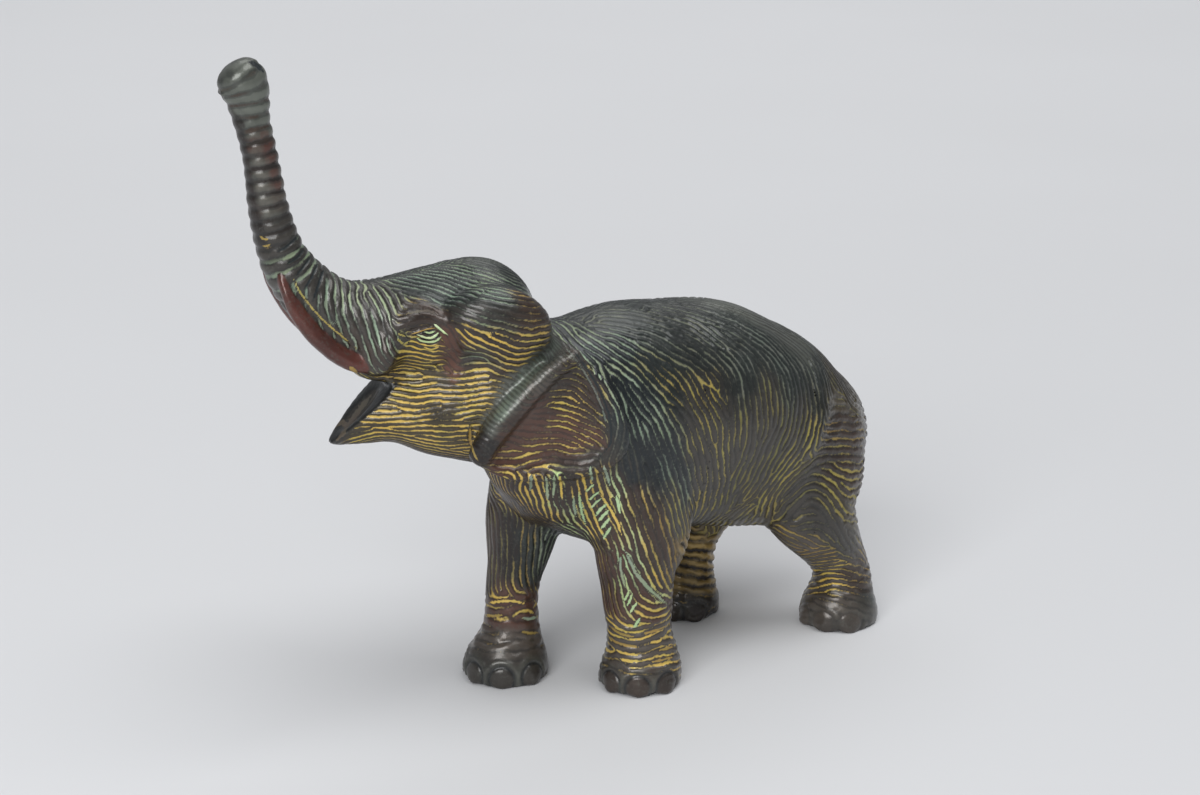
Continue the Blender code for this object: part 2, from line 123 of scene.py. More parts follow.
# The photograph's camera: its place and its right, up and back directions.
def cameraAxes():
    turn, tilt = photoCamera["turn"], photoCamera["tilt"]
    back = np.array([math.sin(turn) * math.cos(tilt), -math.cos(turn) * math.cos(tilt), math.sin(tilt)])
    right = np.array([math.cos(turn), math.sin(turn), 0.0])
    place = np.array(photoCamera["aim"]) + back * photoCamera["distance"]
    return place, right, np.cross(back, right), back


# Where a pixel of the photograph falls on the skin, and the normal there.
def pixelOnSkin(tree, pixel):
    start, right, up, back = cameraAxes()
    focal = photoCamera["lens"] / photoCamera["sensor"] * photoCamera["width"]
    across = (pixel[0] - photoCamera["width"] / 2) / focal
    above = (photoCamera["height"] / 2 - pixel[1]) / focal
    place, normal, _, _ = tree.ray_cast(Vector(start), Vector(right * across + up * above - back))
    return None if place is None else (np.array(place), np.array(normal))


# A smooth line through the points, with the given steps to a span.
def smoothLine(points, steps):
    rows = np.array(points, float)
    padded = np.vstack([2 * rows[0] - rows[1], rows, 2 * rows[-1] - rows[-2]])
    out = []
    for i in range(1, len(padded) - 2):
        before, start, end, after = padded[i - 1:i + 3]
        for k in range(steps):
            t = k / steps
            out.append(0.5 * (2 * start + (end - before) * t
                              + (2 * before - 5 * start + 4 * end - after) * t ** 2
                              + (3 * start - before - 3 * end + after) * t ** 3))
    out.append(rows[-1])
    return np.array(out)


# A pixel line on the skin, with its directions and normals; None where it misses.
def lineOnSkin(tree, pixels, steps):
    hits = [pixelOnSkin(tree, pixel) for pixel in smoothLine(pixels, steps)]
    hits = [hit for hit in hits if hit is not None]
    if len(hits) < 2:
        return None
    place = np.array([hit[0] for hit in hits])
    normal = np.array([hit[1] for hit in hits])
    return place, unit(np.gradient(place, axis=0)), normal


# How the head sits on the body: its turn about the neck, the neck's place, and the hundredth
# of the height that its own sizes are counted in.
head = {
    "turn": math.radians(20.0),
    "neck": (-0.01648, -0.00395, 0.0),
    "share": 2.31 * mm,
}


# The head's own directions in the part's frame.
def headAxes():
    turn = head["turn"]
    ahead = np.array([-math.cos(turn), math.sin(turn), 0.0])
    left = np.array([-math.sin(turn), -math.cos(turn), 0.0])
    return ahead, left


# Head places, given ahead, left and up in hundredths of the height, in the part's frame.
def headPlaces(rows):
    ahead, left = headAxes()
    rows = np.array(rows, float) * head["share"]
    flat = rows[:, :1] * ahead + rows[:, 1:2] * left
    flat[:, 2] += rows[:, 2]
    return flat + np.array(head["neck"])


# Vectors mirrored across the middle plane of the body, or of the turned head.
def mirrored(vectors, part, arePlaces):
    neck = np.array(head["neck"]) if arePlaces else np.zeros(3)
    normal = headAxes()[1] if part == "head" else np.array([0.0, 1.0, 0.0])
    shifted = vectors - neck
    return shifted - 2 * (shifted @ normal)[:, None] * normal + neck


# Each pixel line of a table on the skin and then mirrored, with its row's values; a row is
# its values and the lines that share them.
def linesOnSkin(tree, tables, steps):
    for part, table in tables.items():
        for values, *lines in table:
            for pixels in lines:
                found = lineOnSkin(tree, pixels, steps)
                if found is None:
                    continue
                yield values, found
                yield values, [mirrored(vectors, part, k == 0) for k, vectors in enumerate(found)]


# Slow waves through space, mostly between -1 and 1.
def waves(points, length, seed):
    rng = np.random.default_rng(seed)
    total = np.zeros(len(points))
    for _ in range(6):
        heading = unit(rng.normal(size=3))
        turns = 2 * math.pi / (length * rng.uniform(0.7, 1.6))
        total += np.sin(points @ heading * turns + rng.uniform(0, 2 * math.pi))
    return total / 3.0


# A mesh as arrays: its places, normals, edges and faces.
def meshArrays(mesh):
    count = len(mesh.vertices)
    co = np.empty(count * 3, np.float32)
    mesh.vertices.foreach_get("co", co)
    no = np.empty(count * 3, np.float32)
    mesh.vertex_normals.foreach_get("vector", no)
    edges = np.empty(len(mesh.edges) * 2, np.int32)
    mesh.edges.foreach_get("vertices", edges)
    corners = np.empty(len(mesh.loops), np.int32)
    mesh.loops.foreach_get("vertex_index", corners)
    starts = np.empty(len(mesh.polygons), np.int32)
    mesh.polygons.foreach_get("loop_start", starts)
    return {
        "co": co.reshape(-1, 3).astype(float),
        "no": no.reshape(-1, 3).astype(float),
        "edges": edges.reshape(-1, 2),
        "corners": corners,
        "starts": starts,
        "sizes": np.diff(np.append(starts, len(corners))),
    }


# A quick way to the nearest of some points.
def pointTree(points):
    tree = KDTree(len(points))
    for i, point in enumerate(points.tolist()):
        tree.insert(point, i)
    tree.balance()
    return tree


def newObject(name, data):
    obj = bpy.data.objects.new(name, data)
    bpy.context.scene.collection.objects.link(obj)
    return obj


# The object's mesh once its modifiers have run; the object goes.
def finishedMesh(obj):
    graph = bpy.context.evaluated_depsgraph_get()
    mesh = bpy.data.meshes.new_from_object(obj.evaluated_get(graph))
    bpy.data.objects.remove(obj)
    return mesh


# The fine skin: its faces, and the closed pieces that it ends in from the trunk to the rump.
skin = {
    "voxel": 0.5 * mm,
    "soften": 5,
    "seed": 7,
    "pieces": ("trunkSkin", "headSkin", "shoulderSkin", "barrelSkin", "rumpSkin"),
}


# The CAD skin, merged and rounded by subdivision.
def roundedCad(levels):
    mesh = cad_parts["bronze_elephant"].data.copy()
    bm = bmesh.new()
    bm.from_mesh(mesh)
    bmesh.ops.remove_doubles(bm, verts=bm.verts, dist=0.01 * mm)
    bm.to_mesh(mesh)
    bm.free()
    obj = newObject("rounding", mesh)
    rounding = obj.modifiers.new("rounding", "SUBSURF")
    rounding.levels = levels
    rounding.render_levels = levels
    return finishedMesh(obj)


# The rounded skin again as small, even faces.
def evenSkin(mesh):
    obj = newObject("even", mesh.copy())
    even = obj.modifiers.new("even", "REMESH")
    even.mode = "VOXEL"
    even.voxel_size = skin["voxel"]
    soften = obj.modifiers.new("soften", "SMOOTH")
    soften.factor = 0.5
    soften.iterations = skin["soften"]
    return finishedMesh(obj)


# Eyes, where the skin gets smaller faces.
eye = {
    "pixel": (427, 332),
    "reach": 7.0 * mm,
    "cuts": 2,
}


# Smaller faces round the eyes.
def refineEyes(mesh, tree):
    places = np.array([pixelOnSkin(tree, eye["pixel"])[0]])
    places = np.vstack([places, mirrored(places, "head", True)])
    arrays = meshArrays(mesh)
    middle = arrays["co"][arrays["corners"][arrays["starts"]]]
    close = np.min([np.linalg.norm(middle - place, axis=1) for place in places], axis=0) < eye["reach"]
    bm = bmesh.new()
    bm.from_mesh(mesh)
    bm.faces.ensure_lookup_table()
    edges = {edge for index in np.flatnonzero(close) for edge in bm.faces[int(index)].edges}
    bmesh.ops.subdivide_edges(bm, edges=list(edges), cuts=eye["cuts"], use_grid_fill=True)
    bm.to_mesh(mesh)
    bm.free()


# Strokes as they run over the surface in the photograph, each through a few pixels.
# Row: pitch mm, depth mm, ground colour, line colour and line strength; pixels of each line.
strokes = {"head": [
    # Crown and forehead.
    ((1.9, 0.20, "blackGreen", "verdigris", 0.9),
     [(372, 281), (400, 287), (430, 291), (450, 300)], [(392, 277), (420, 281), (445, 287), (468, 302)],
     [(420, 273), (450, 279), (480, 290), (510, 300)],
     [(445, 265), (480, 277), (510, 286), (540, 300)]),
    ((1.9, 0.18, "blackGreen", "stone", 0.7), [(472, 262), (500, 270), (522, 281), (545, 300)]),
    # Along the crown's top the ground is paler, a painted sheen of the light from above.
    ((1.9, 0.10, "stone", "verdigris", 0.4),
     [(420, 266), (450, 259), (480, 255), (500, 262)], [(372, 277), (390, 271), (412, 268)]),
    # Trunk root, steep strokes.
    ((2.6, 0.26, "slate", "paleVerdigris", 0.75), [(386, 284), (391, 300), (397, 318)]),
    ((2.4, 0.26, "slate", "paleVerdigris", 0.75), [(371, 282), (377, 300), (384, 320), (392, 340)]),
    ((2.6, 0.28, "slate", "paleVerdigris", 0.8), [(357, 282), (363, 302), (370, 325), (380, 350)]),
    ((3.0, 0.30, "slate", "paleVerdigris", 0.8), [(343, 281), (346, 300), (352, 322), (364, 348)]),
    ((3.4, 0.34, "slate", "verdigris", 0.8), [(328, 273), (328, 292), (332, 312), (340, 330)]),
    ((3.8, 0.36, "slate", "verdigris", 0.8), [(316, 263), (309, 280), (307, 296)]),
    ((4.0, 0.40, "slate", "verdigris", 0.7), [(303, 249), (293, 260), (286, 270)]),
    # Trunk, from its tip down, then the smooth strip under it.
    ((4.2, 0.26, "stone", "slate", 0.7), [(228, 84), (240, 76), (252, 80)]),
    ((4.2, 0.26, "stone", "slate", 0.8), [(232, 96), (246, 92), (262, 95)]),
    ((4.2, 0.24, "stone", "umber", 0.8),
     [(238, 112), (252, 108), (267, 111)], [(246, 127), (256, 125), (268, 127)]),
    ((4.2, 0.26, "redBrown", "darkUmber", 0.8), [(252, 144), (260, 142), (270, 144)]),
    ((4.2, 0.26, "warmGrey", "darkUmber", 0.8),
     [(253, 164), (264, 161), (275, 162)], [(255, 187), (267, 183), (281, 179)],
     [(258, 209), (270, 203), (286, 197)]),
    ((4.2, 0.26, "slate", "darkUmber", 0.8), [(262, 228), (276, 219), (290, 210)]),
    ((4.2, 0.28, "slate", "darkUmber", 0.7), [(272, 245), (286, 236), (300, 226)]),
    ((4.2, 0.06, "darkUmber", "slate", 0.2),
     [(234, 130), (240, 130)], [(239, 160), (246, 160)], [(242, 190), (250, 190)],
     [(248, 220), (256, 219)]),
    # Temple, upper ear lobe.
    ((2.2, 0.10, "slate", "verdigris", 0.3), [(458, 308), (480, 314), (505, 322), (520, 326)]),
    ((2.4, 0.12, "umber", "goldBrown", 0.5), [(518, 300), (532, 303), (546, 300)]),
    ((2.4, 0.14, "umber", "goldBrown", 0.6), [(512, 322), (530, 327), (550, 320)]),
    ((2.4, 0.20, "umber", "gold", 0.9), [(470, 330), (500, 338), (525, 343), (545, 338)]),
    ((2.4, 0.22, "umber", "gold", 1.0),
     [(478, 342), (500, 350), (520, 354), (538, 349)],
     [(470, 340), (488, 352), (508, 362), (525, 359)]),
    # Behind the eye, smooth red brown with a grey patch.
    ((2.6, 0.08, "redBrown", "goldBrown", 0.1), [(448, 340), (451, 355), (453, 370)]),
    ((2.6, 0.18, "slate", "verdigris", 0.8), [(464, 362), (476, 354), (490, 356), (503, 364)]),
    ((2.4, 0.20, "umber", "gold", 0.8), [(460, 374), (476, 367), (492, 369), (506, 374)]),
    # Brow and the dark inside of the lower lip.
    ((2.6, 0.04, "umber", "goldBrown", 0.1), [(402, 320), (414, 314), (430, 313), (442, 319)]),
    ((2.0, 0.10, "slate", "stone", 0.3), [(338, 441), (350, 426), (362, 409), (374, 394)]),
    # Under the eye and cheek.
    ((2.1, 0.22, "oliveBrown", "gold", 1.15), [(417, 346), (428, 350), (442, 347)]),
    ((2.1, 0.24, "oliveBrown", "gold", 1.15), [(414, 358), (430, 361), (447, 358)]),
    ((1.95, 0.28, "oliveBrown", "gold", 1.15), [(392, 380), (412, 384), (450, 381), (480, 378)]),
    ((1.95, 0.30, "oliveBrown", "gold", 1.15), [(386, 394), (410, 398), (450, 393), (490, 388)]),
    ((2.0, 0.32, "oliveBrown", "gold", 1.2),
     [(378, 408), (405, 411), (440, 406), (480, 399)],
     [(366, 420), (395, 418), (435, 421), (475, 414)]),
    ((2.0, 0.30, "oliveBrown", "gold", 1.15), [(352, 434), (380, 427), (420, 431), (466, 430)]),
    ((1.95, 0.28, "oliveBrown", "gold", 1.15),
     [(345, 446), (370, 436), (400, 438), (430, 445), (468, 446)]),
    ((1.95, 0.24, "umber", "goldBrown", 1.0), [(400, 444), (425, 453), (450, 458), (470, 461)]),
    # Ear ridge: a pale half, a glossy half, then its dark lower end.
    ((1.5, 0.05, "stone", "slate", 0.7),
     [(552, 341), (560, 349)], [(541, 354), (549, 362)], [(529, 367), (537, 374)],
     [(515, 384), (523, 391)], [(502, 403), (510, 409)], [(490, 421), (498, 427)]),
    ((1.6, 0.06, "warmGrey", "stone", 0.5),
     [(561, 350), (570, 357)], [(546, 367), (553, 374)], [(532, 384), (539, 391)],
     [(518, 403), (525, 409)]),
    ((1.6, 0.06, "umber", "stone", 0.4), [(506, 421), (512, 426)]),
    ((2.0, 0.08, "darkUmber", "umber", 0.3), [(484, 434), (493, 441)]),
    ((2.0, 0.06, "darkUmber", "umber", 0.3), [(477, 446), (486, 452)]),
    # Ear flap.
    ((2.0, 0.20, "umber", "oliveGold", 0.8), [(556, 376), (574, 374), (590, 382), (600, 392)]),
    ((2.0, 0.20, "umber", "gold", 0.6), [(552, 392), (570, 391), (588, 398), (604, 408)]),
    ((2.0, 0.20, "umber", "gold", 0.65), [(556, 404), (574, 409), (590, 417), (606, 426)]),
    ((2.0, 0.22, "redBrown", "gold", 0.7), [(558, 424), (574, 426), (592, 434), (604, 441)]),
    ((2.0, 0.18, "redBrown", "gold", 0.7), [(550, 438), (566, 441), (584, 447)]),
    ((3.0, 0.06, "redBrown", "goldBrown", 0.3), [(505, 432), (520, 430), (536, 432)]),
    ((3.0, 0.06, "redBrown", "slate", 0.3), [(520, 412), (534, 403), (548, 398)]),
    ((2.6, 0.14, "redBrown", "gold", 0.7), [(500, 463), (520, 461), (545, 455)]),
    ((2.6, 0.12, "umber", "slate", 0.5), [(570, 462), (590, 458), (606, 448)]),
    ((2.6, 0.06, "blackGreen", "stone", 0.4), [(617, 432), (611, 446), (596, 458)]),
], "body": [
    # Neck and shoulder behind the ear.
    ((2.4, 0.30, "night", "paleVerdigris", 1.0), [(563, 326), (574, 342), (588, 356), (600, 366)]),
    ((2.4, 0.32, "night", "paleVerdigris", 0.9),
     [(597, 366), (605, 384), (611, 402), (614, 420)],
     [(608, 366), (618, 384), (626, 402), (634, 418), (640, 440)]),
    ((2.5, 0.34, "night", "paleVerdigris", 0.9),
     [(606, 361), (622, 374), (638, 390), (652, 408), (664, 428)]),
    ((2.6, 0.34, "night", "paleVerdigris", 0.9),
     [(580, 340), (600, 352), (622, 362), (645, 382), (668, 404)]),
    ((2.6, 0.28, "night", "verdigris", 0.7), [(574, 324), (592, 336), (616, 346), (640, 366)]),
    ((2.6, 0.26, "blackGreen", "oliveGold", 0.6), [(636, 362), (652, 378), (668, 394), (679, 402)]),
    ((2.4, 0.22, "night", "slate", 0.7), [(626, 430), (628, 452), (630, 476)]),
    ((2.4, 0.24, "night", "verdigris", 0.5), [(650, 430), (654, 452), (662, 474), (668, 492)]),
    ((2.4, 0.24, "night", "verdigris", 0.6), [(664, 420), (674, 440), (680, 464), (686, 490)]),
    # Back and flank.
    ((2.5, 0.24, "blackGreen", "stone", 0.7), [(568, 314), (600, 311), (640, 313), (680, 324)]),
    ((2.5, 0.26, "blackGreen", "stone", 0.7), [(600, 322), (640, 330), (676, 344), (704, 364)]),
    ((2.5, 0.22, "blackGreen", "stone", 0.7), [(620, 300), (660, 306), (710, 318), (750, 336)]),
    # Along the back's top the ground is paler, a painted sheen of the light from above.
    ((2.5, 0.20, "stone", "slate", 0.5), [(620, 297), (660, 297), (700, 294)]),
    ((2.5, 0.20, "stone", "slate", 0.6), [(690, 295), (730, 306), (765, 320)]),
    ((2.5, 0.26, "blackGreen", "stone", 0.8),
     [(700, 330), (724, 350), (742, 376), (746, 400)],
     [(735, 322), (770, 344), (792, 374), (798, 404)]),
    # The same painted sheen runs on over the hip.
    ((2.5, 0.20, "stone", "slate", 0.6), [(765, 322), (790, 336), (812, 352)]),
    ((2.5, 0.24, "blackGreen", "stone", 0.7), [(800, 340), (818, 362), (825, 390), (822, 415)]),
    ((2.5, 0.26, "slate", "oliveGold", 0.7),
     [(692, 394), (704, 420), (712, 448), (714, 476), (710, 500)]),
    ((2.5, 0.26, "slate", "oliveGold", 0.8), [(684, 430), (691, 455), (697, 480), (700, 505)]),
    ((2.5, 0.26, "slate", "oliveGold", 0.7),
     [(712, 395), (724, 425), (728, 460), (722, 492), (708, 515)]),
    ((2.5, 0.26, "slate", "olive", 0.7),
     [(746, 400), (746, 430), (740, 462), (728, 495), (712, 520)],
     [(772, 400), (770, 430), (758, 462), (742, 495), (724, 522)],
     [(800, 405), (796, 432), (776, 462), (758, 494), (744, 520)]),
    ((2.5, 0.28, "slate", "oliveGold", 0.9),
     [(816, 425), (802, 452), (782, 474), (768, 496), (760, 515)]),
    ((2.5, 0.26, "oliveBrown", "oliveGold", 1.0),
     [(712, 528), (730, 516), (745, 500)], [(740, 526), (750, 512), (760, 496)]),
    ((2.6, 0.30, "oliveBrown", "oliveGold", 1.0), [(766, 522), (772, 505), (779, 490), (795, 474)]),
    # Rump and thigh.
    ((2.5, 0.26, "blackGreen", "stone", 0.6), [(846, 362), (857, 378), (864, 396)]),
    ((2.5, 0.26, "slate", "olive", 0.6), [(832, 370), (842, 386), (849, 402)]),
    ((2.6, 0.28, "blackGreen", "stone", 0.6), [(830, 360), (846, 378), (860, 398)]),
    ((2.8, 0.34, "oliveBrown", "oliveGold", 0.3), [(826, 410), (840, 402), (852, 404), (863, 414)]),
    ((3.0, 0.40, "umber", "goldBrown", 0.6), [(828, 424), (842, 420), (854, 422), (866, 420)]),
    ((3.0, 0.40, "umber", "goldBrown", 0.7), [(828, 436), (842, 438), (854, 438), (867, 434)]),
    ((3.0, 0.40, "umber", "oliveGold", 0.7), [(826, 449), (840, 446), (854, 450), (868, 448)]),
    ((3.0, 0.40, "umber", "oliveGold", 0.8),
     [(824, 462), (838, 466), (852, 470), (866, 466)],
     [(824, 474), (836, 484), (850, 490), (864, 484)]),
    ((3.0, 0.38, "oliveBrown", "oliveGold", 0.8), [(826, 486), (838, 502), (850, 511), (861, 506)]),
    ((2.8, 0.30, "slate", "olive", 0.6),
     [(788, 494), (802, 478), (816, 466), (826, 462)], [(790, 516), (800, 502), (812, 492), (824, 500)],
     [(800, 532), (812, 525), (826, 530), (838, 544)]),
    ((2.8, 0.24, "warmGrey", "goldBrown", 0.8), [(786, 530), (800, 537), (812, 546)]),
    ((2.6, 0.16, "slate", "olive", 0.5), [(826, 510), (836, 530), (846, 552)]),
    # Near hind leg.
    ((2.2, 0.26, "warmGrey", "goldBrown", 0.9), [(808, 556), (820, 552), (832, 550)]),
    ((2.2, 0.26, "warmGrey", "gold", 0.8),
     [(813, 570), (826, 567), (838, 564)], [(816, 584), (828, 583), (840, 582)]),
    ((2.4, 0.12, "umber", "goldBrown", 0.6), [(842, 575), (854, 580), (866, 582)]),
    ((3.0, 0.05, "warmGrey", "goldBrown", 0.2), [(818, 606), (838, 610), (858, 616)]),
    ((3.0, 0.05, "blackGreen", "goldBrown", 0.2), [(862, 606), (872, 612), (880, 614)]),
    # Chest and the fold under the ear.
    ((2.3, 0.26, "umber", "gold", 0.9), [(520, 476), (521, 486), (524, 496)]),
    ((2.3, 0.28, "umber", "gold", 1.1), [(545, 477), (546, 498), (550, 518)]),
    ((2.3, 0.28, "umber", "mint", 0.9), [(558, 480), (560, 500), (568, 522), (582, 532)]),
    ((2.3, 0.28, "umber", "gold", 1.1), [(576, 482), (580, 502), (590, 524), (598, 540)]),
    ((1.6, 0.16, "umber", "goldBrown", 0.9),
     [(484, 484), (504, 500), (524, 514), (544, 524)], [(500, 490), (520, 505), (540, 519)]),
    # Near front leg.
    ((2.5, 0.26, "umber", "gold", 0.9), [(600, 470), (606, 495), (616, 520), (624, 545)]),
    ((2.5, 0.26, "umber", "mint", 0.9), [(612, 480), (620, 505), (630, 535), (640, 562)]),
    ((2.6, 0.26, "umber", "gold", 0.8), [(630, 500), (640, 530), (652, 560), (664, 585)]),
    ((2.6, 0.26, "redBrown", "mint", 0.9), [(622, 545), (636, 572), (652, 595), (668, 605)]),
    ((2.6, 0.24, "umber", "goldBrown", 0.8), [(652, 510), (662, 535), (670, 560), (674, 580)]),
    ((2.6, 0.24, "slate", "oliveGold", 0.7), [(668, 490), (676, 512), (682, 530)]),
    ((2.6, 0.22, "redBrown", "goldBrown", 0.7), [(604, 560), (608, 585), (612, 610)]),
    ((2.6, 0.20, "redBrown", "mint", 0.7), [(620, 560), (626, 585), (628, 606)]),
    ((2.8, 0.26, "redBrown", "gold", 0.9), [(632, 600), (644, 612), (662, 612), (672, 604)]),
    ((2.8, 0.30, "warmGrey", "gold", 1.0),
     [(606, 626), (620, 633), (634, 637), (650, 631), (672, 624)],
     [(606, 640), (622, 648), (636, 650), (654, 646), (674, 640)]),
    ((2.8, 0.28, "warmGrey", "gold", 0.9),
     [(608, 652), (624, 660), (640, 662), (660, 658), (677, 652)]),
    ((3.0, 0.03, "umber", "goldBrown", 0.1), [(604, 676), (622, 682), (645, 684), (668, 682)]),
    # Far front leg.
    ((2.4, 0.24, "umber", "olive", 0.5), [(488, 500), (491, 530), (490, 560), (489, 590)]),
    ((2.4, 0.24, "darkUmber", "olive", 0.5), [(506, 520), (508, 550), (508, 580)]),
    ((2.4, 0.24, "blackGreen", "paleVerdigris", 0.7), [(550, 530), (542, 548), (538, 566)]),
    ((2.4, 0.22, "blackGreen", "goldBrown", 0.5), [(528, 540), (528, 560), (529, 585)]),
    ((4.0, 0.20, "redBrown", "gold", 0.6),
     [(488, 601), (506, 603), (524, 602), (539, 600)],
     [(487, 616), (506, 619), (524, 618), (540, 616)]),
    ((4.0, 0.14, "warmGrey", "goldBrown", 0.3), [(484, 634), (506, 638), (528, 636), (541, 634)]),
    ((3.0, 0.03, "slate", "goldBrown", 0.1), [(470, 662), (500, 670), (530, 668), (548, 662)]),
    # Far hind leg.
    ((3.6, 0.34, "goldBrown", "darkUmber", 0.9),
     [(684, 546), (700, 547), (716, 545)], [(682, 562), (700, 564), (718, 562)]),
    ((3.6, 0.30, "goldBrown", "darkUmber", 0.9), [(680, 580), (700, 583), (719, 580)]),
    ((3.6, 0.10, "darkUmber", "goldBrown", 0.4), [(680, 604), (700, 606), (716, 602)]),
]}


# Every stroke of the table and its mirror image as samples on the skin: place, direction,
# normal and finish.
def strokeSamples(tree):
    rows = {key: [] for key in ("place", "along", "normal", "values", "ground", "line")}
    for (pitch, depth, ground, line, strength), found in linesOnSkin(tree, strokes, 3):
        finish = {
            "values": (math.log(pitch * mm), depth * mm, strength),
            "ground": linear(patina[ground]),
            "line": linear(patina[line]),
        }
        for key, vectors in zip(("place", "along", "normal"), found):
            rows[key].append(vectors)
        for key, value in finish.items():
            rows[key].append(np.tile(value, (len(found[0]), 1)))
    return {key: np.concatenate(value) for key, value in rows.items()}


# How the strokes flow: their wander, how far a sample counts and how much its facing does,
# the patches of patina, the rounds that space the strokes evenly on each skin, and the
# streaks along them.
flow = {
    "wander": 0.16,
    "wanderLength": 10.0 * mm,
    "reach": 2.6 * mm,
    "facing": 2.2,
    "patch": 12.0 * mm,
    "patchDrift": 1.6 * mm,
    "batch": 4096,
    "coarseRounds": 700,
    "middleRounds": 120,
    "fineRounds": 14,
    "streakRounds": 60,
    "streakFocus": 8,
    "streakLeak": 0.004,
    "carryReach": 0.15 * mm,
}


# The samples blended over the skin; nearer ones that face the same way count most, and
# the colours more so, with edges that drift.
def blendSamples(samples, arrays):
    count = len(arrays["co"])
    out = {key: np.empty((count, 3)) for key in ("along", "values", "ground", "line")}
    square = (samples["place"] ** 2).sum(1)
    shift = np.stack([waves(arrays["co"], flow["patch"], skin["seed"] + k) for k in range(3)], 1)
    blends = ((("along", "values"), 0.0, 2.0), (("ground", "line"), flow["patchDrift"], 3.0))
    for start in range(0, count, flow["batch"]):
        part = slice(start, start + flow["batch"])
        facing = np.exp(flow["facing"] * (arrays["no"][part] @ samples["normal"].T - 1.0))
        for keys, drift, power in blends:
            here = arrays["co"][part] + shift[part] * drift
            gap = (here ** 2).sum(1)[:, None] + square[None] - 2 * here @ samples["place"].T
            weight = facing / (np.maximum(gap, 0) + flow["reach"] ** 2) ** power
            weight /= weight.sum(1)[:, None]
            for key in keys:
                out[key][part] = weight @ samples[key]
    return out


# The wave vector of the strokes: square to them in the skin, two pi to a pitch.
def waveVector(arrays, along, pitch):
    normal = arrays["no"]
    flat = unit(along - (along * normal).sum(1)[:, None] * normal)
    aside = np.cross(normal, flat)
    turn = flow["wander"] * waves(arrays["co"], flow["wanderLength"], skin["seed"])
    turn += 0.5 * flow["wander"] * waves(arrays["co"], 0.4 * flow["wanderLength"], skin["seed"] + 1)
    aside = aside * np.cos(turn)[:, None] + flat * np.sin(turn)[:, None]
    return aside * (2 * math.pi / np.exp(pitch))[:, None]


# Evenly spaced stroke lines: each point's phase agrees with what its neighbours foresee.
def relaxPhase(arrays, wave, phase, rounds, fixed):
    a, b = arrays["edges"].T
    step = arrays["co"][b] - arrays["co"][a]
    flip = (wave[a] * wave[b]).sum(1) < 0
    sign = np.where(flip, -1.0, 1.0)[:, None]
    turnAhead = np.exp(0.5j * ((wave[b] + sign * wave[a]) * step).sum(1))
    turnBehind = np.exp(-0.5j * ((wave[a] + sign * wave[b]) * step).sum(1))
    count = len(phase)
    hold = phase[fixed]
    for _ in range(rounds):
        fromA = np.where(flip, phase[a].conj(), phase[a]) * turnAhead
        fromB = np.where(flip, phase[b].conj(), phase[b]) * turnBehind
        real = np.bincount(b, fromA.real, count) + np.bincount(a, fromB.real, count)
        imaginary = np.bincount(b, fromA.imag, count) + np.bincount(a, fromB.imag, count)
        phase = real + 1j * imaginary
        phase /= np.maximum(np.abs(phase), 1e-9)
        phase[fixed] = hold
    return phase


# For each finer point, the four nearest points of a coarser skin and their shares.
def nearestFour(coarse, fine):
    tree = pointTree(coarse["co"])
    found = [tree.find_n(place, 4) for place in fine["co"].tolist()]
    which = np.array([[hit[1] for hit in hits] for hits in found])
    gap = np.array([[hit[2] for hit in hits] for hits in found])
    share = 1.0 / (gap ** 2 + flow["carryReach"] ** 2)
    return which, share / share.sum(1)[:, None]


# Values of a coarser skin on a finer one.
def carryValues(values, which, share):
    return (values[which] * share[:, :, None]).sum(1)


# The phase turns on its way to a finer point, and flips where the wave vector does.
def carryPhase(coarse, wave, phase, which, share, fine, fineWave):
    leader = wave[which[:, 0]]
    total = np.zeros(len(which), complex)
    for k in range(4):
        c = which[:, k]
        moved = phase[c] * np.exp(1j * (wave[c] * (fine["co"] - coarse["co"][c])).sum(1))
        moved = np.where((wave[c] * leader).sum(1) < 0, moved.conj(), moved)
        total += share[:, k] * moved
    total = np.where((fineWave * leader).sum(1) < 0, total.conj(), total)
    return total / np.maximum(np.abs(total), 1e-9)


# How far along a line each point lies, how far from it, and the line's direction there;
# points beyond the reach are left out.
def alongLine(line, points, reach):
    span = np.linalg.norm(np.diff(line, axis=0), axis=1)
    run = np.concatenate([[0.0], np.cumsum(span)])
    close = np.all((points > line.min(0) - reach) & (points < line.max(0) + reach), axis=1)
    index = np.flatnonzero(close)
    near = points[index]
    gap = np.full(len(near), 1.0)
    best = np.zeros(len(near))
    heading = np.zeros((len(near), 3))
    for i, length in enumerate(span):
        d = line[i + 1] - line[i]
        t = np.clip(((near - line[i]) @ d) / (d @ d), 0, 1)
        here = np.linalg.norm(near - line[i] - t[:, None] * d, axis=1)
        nearer = here < gap
        gap[nearer] = here[nearer]
        best[nearer] = run[i] + t[nearer] * length
        heading[nearer] = d / length
    return index, best, gap, heading


# The trunk's middle line, ahead and up in hundredths of the height, and its rings, which
# line up with the solid's.
trunk = {
    "path": [(17.0, 60.0), (22.5, 60.0), (28.5, 60.4), (33.7, 61.4), (37.0, 63.3), (39.4, 65.7),
             (41.4, 68.3), (42.9, 70.9), (44.1, 74.8), (44.7, 77.6), (45.1, 80.2), (45.3, 82.6),
             (45.7, 85.8), (46.2, 88.6), (46.7, 91.0), (47.0, 93.1), (47.3, 95.0), (47.8, 96.5),
             (48.5, 97.7)],
    "ringPitch": 1.85 * head["share"],
    "ringStart": 22.0 * head["share"],
    "ringDepth": 0.17 * mm,
    "reach": 9.5 * mm,
}


